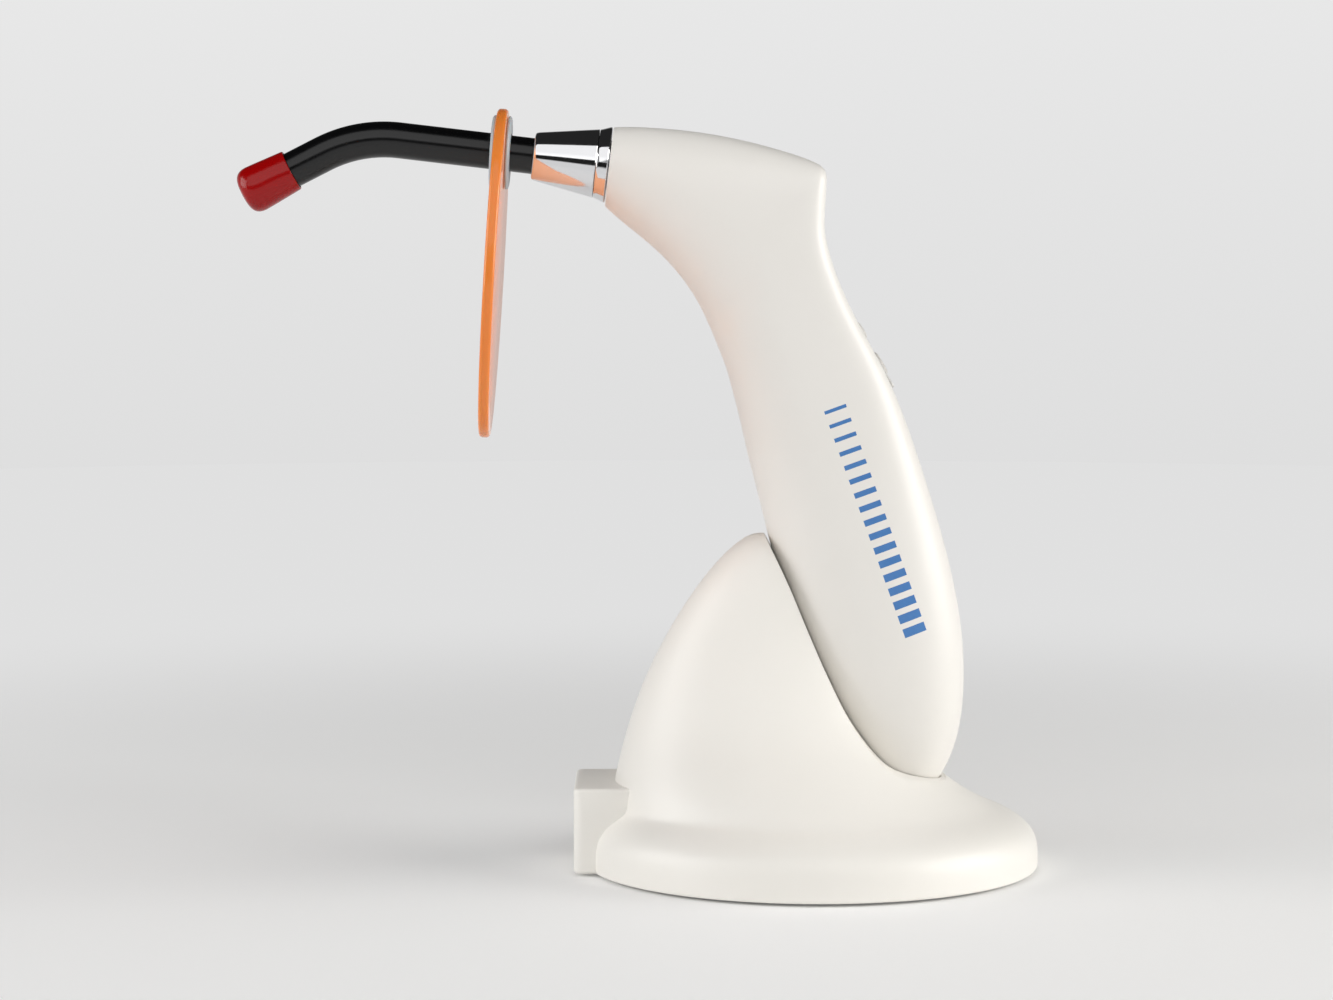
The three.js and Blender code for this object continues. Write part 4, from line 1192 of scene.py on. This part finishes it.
# %% Finish the frame's own inner parts
INNER = {
    "ballast_plate": steel, "charger_board": circuit_green, "pin_carrier": black_moulding,
    "key_board": circuit_green, "main_board": circuit_green, "buzzer": black_moulding,
    "battery_cell": cell_wrap, "cell_cradle": black_moulding, "heat_sink": aluminium,
    "led_board": aluminium, "led_lens": clear_glass, "lens_tube": aluminium,
    "tact_switch_1": black_moulding, "tact_switch_2": black_moulding, "tact_switch_3": black_moulding,
}
for node, finish in INNER.items():
    data = frame["nodes"][node].data
    data.materials.clear()
    data.materials.append(finish)
left_plain = [n for n, piece in frame["nodes"].items() if n not in INNER and not piece.hide_render]
print("inner parts finished:", len(INNER), "left without a finish:", left_plain)

# %% [markdown]
# # The studio
# A pale floor runs out under a round pale screen, so that no horizon shows behind the object. The
# far floor and the screen glow with one even grey, as a lit paper roll does. Only the camera sees
# the screen: the chrome mirrors the lights and the dark room beyond them instead. A large soft light
# stands high in front, smaller ones to the right and left, and a weak one fills from above. A dark
# card under the front light draws the thin dark line along everything round and glossy.

# %% Floor and screen
BACKDROP_LOW = paint(222, 222, 222)
BACKDROP_HIGH = paint(232, 232, 232)
NEAR_GLOW = paint(76, 76, 76)
GLOW_FROM, GLOW_TO = 0.1, 0.62
BLACK = (0.0, 0.0, 0.0, 1.0)

floor_finish = Finish("studio floor", Specular_IOR_Level=0.15, Emission_Strength=1.0)
flat = floor_finish.node("ShaderNodeVectorMath", {"operation": "MULTIPLY"},
                         {0: floor_finish.here, 1: (1.0, 1.0, 0.0)})
away = floor_finish.node("ShaderNodeVectorMath", {"operation": "LENGTH"}, {0: flat}, "Value")
fade = floor_finish.node("ShaderNodeMapRange", {"interpolation_type": "SMOOTHERSTEP"},
                         {"Value": away, "From Min": GLOW_FROM, "From Max": GLOW_TO})
clouds = floor_finish.noise(3.0)
paper = floor_finish.mix(clouds, paint(244, 244, 244), paint(246, 246, 245))
floor_finish.show(
    Base_Color=floor_finish.mix(fade, paper, BLACK),
    Roughness=0.8 + 0.1 * clouds,
    Emission_Color=floor_finish.mix(fade, NEAR_GLOW, BACKDROP_LOW),
)
SCREEN_RISE = 0.35
screen_finish = Finish("studio screen", Specular_IOR_Level=0.0, Base_Color=BLACK, Emission_Strength=1.0)
screen_finish.show(Emission_Color=screen_finish.mix(
    screen_finish.along(UP) * (1 / SCREEN_RISE), BACKDROP_LOW, BACKDROP_HIGH))
flag_finish = moulded("black velvet", paint(12, 12, 12), paint(8, 8, 8), 0.9, 900.0, 0.2)

FLOOR_R = 1500
studio = turn_on_lathe("studio_floor", [
    (-1, FLOOR_R), (0, FLOOR_R), (0, 600), (0, 200), (0, 50),
], Vector(), UP, 96)
screen = turn_on_lathe("studio_screen", [
    (-1.5, FLOOR_R - 100), (0, FLOOR_R - 50), (400, FLOOR_R + 500), (1600, FLOOR_R + 900),
], Vector(), UP, 96)
edit(screen, "FACE")
pick(lambda place, face: len(face.verts) > 10, "faces")
bpy.ops.mesh.delete(type="ONLY_FACE")
leave()
flag = block("dark_card", (3000, 6, 390), Vector((0, -1250, 255)) * MM)
for piece, finish in ((studio, floor_finish), (screen, screen_finish), (flag, flag_finish)):
    piece.data.materials.append(finish.material)
for piece in (screen, flag):
    piece.visible_diffuse = piece.visible_transmission = piece.visible_shadow = False
screen.visible_glossy = False
flag.visible_camera = False
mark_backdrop(studio, screen, flag)

# %% Lights


LIGHTS_AIM = Vector((0, 0, 0.1))


def soft_light(name, at, size, power, colour=(1.0, 1.0, 1.0), mirrored=True):
    """A rectangular soft light aimed at the object. A light that isn't mirrored leaves no reflection."""
    data = bpy.data.lights.new(name, "AREA")
    data.shape = "RECTANGLE"
    data.size, data.size_y = size
    data.energy = power
    data.color = colour
    lamp = bpy.data.objects.new(name, data)
    bpy.context.collection.objects.link(lamp)
    lamp.location = at
    lamp.rotation_euler = (LIGHTS_AIM - Vector(at)).to_track_quat("-Z", "Y").to_euler()
    lamp.visible_camera = False
    lamp.visible_glossy = mirrored


soft_light("right light", (1.05, -0.2, 0.42), (0.9, 0.7), 9.6, (1.0, 0.985, 0.955))
soft_light("left light", (-1.05, -0.25, 0.45), (0.9, 0.7), 6.0)
soft_light("front light", (-0.1, -1.15, 1.05), (2.2, 1.35), 9.6)
soft_light("top light", (0.0, 0.05, 1.45), (1.0, 1.0), 2.6, mirrored=False)

# The room is pale up to a low height and dark above it.
SKY_LOW, SKY_HIGH = 0.5, 0.02
DARKER_FROM, DARKER_TO = 0.1, 0.45
world = bpy.data.worlds.new("studio sky")
bpy.context.scene.world = world
world.use_nodes = True
sky = Tree(world.node_tree)
direction = sky.node("ShaderNodeTexCoord", output="Generated")
height = sky.node("ShaderNodeSeparateXYZ", None, {0: direction}, "Z")
shade = sky.node("ShaderNodeMapRange", None, {
    "Value": height, "From Min": DARKER_FROM, "From Max": DARKER_TO, "To Min": SKY_LOW, "To Max": SKY_HIGH,
})
sky.feed(world.node_tree.nodes["Background"], {"Color": shade})
bpy.context.scene.view_settings.view_transform = "Standard"

# %% Camera
CAMERA_AT = Vector((-38.8, -950, 174.6)) * MM
CAMERA_DOWN = 4.777
lens = bpy.data.cameras.new("camera")
lens.lens = 100
lens.sensor_width = 36
camera = bpy.data.objects.new("camera", lens)
bpy.context.collection.objects.link(camera)
camera.location = CAMERA_AT
camera.rotation_euler = (math.radians(90 - CAMERA_DOWN), 0, 0)
bpy.context.scene.camera = camera

# %% Sizes of the frame and the model, printed
visual_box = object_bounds()
for name, box in (("frame", cad_box), ("model", visual_box)):
    print(name, "box", [[round(c / MM, 2) for c in corner] for corner in box])
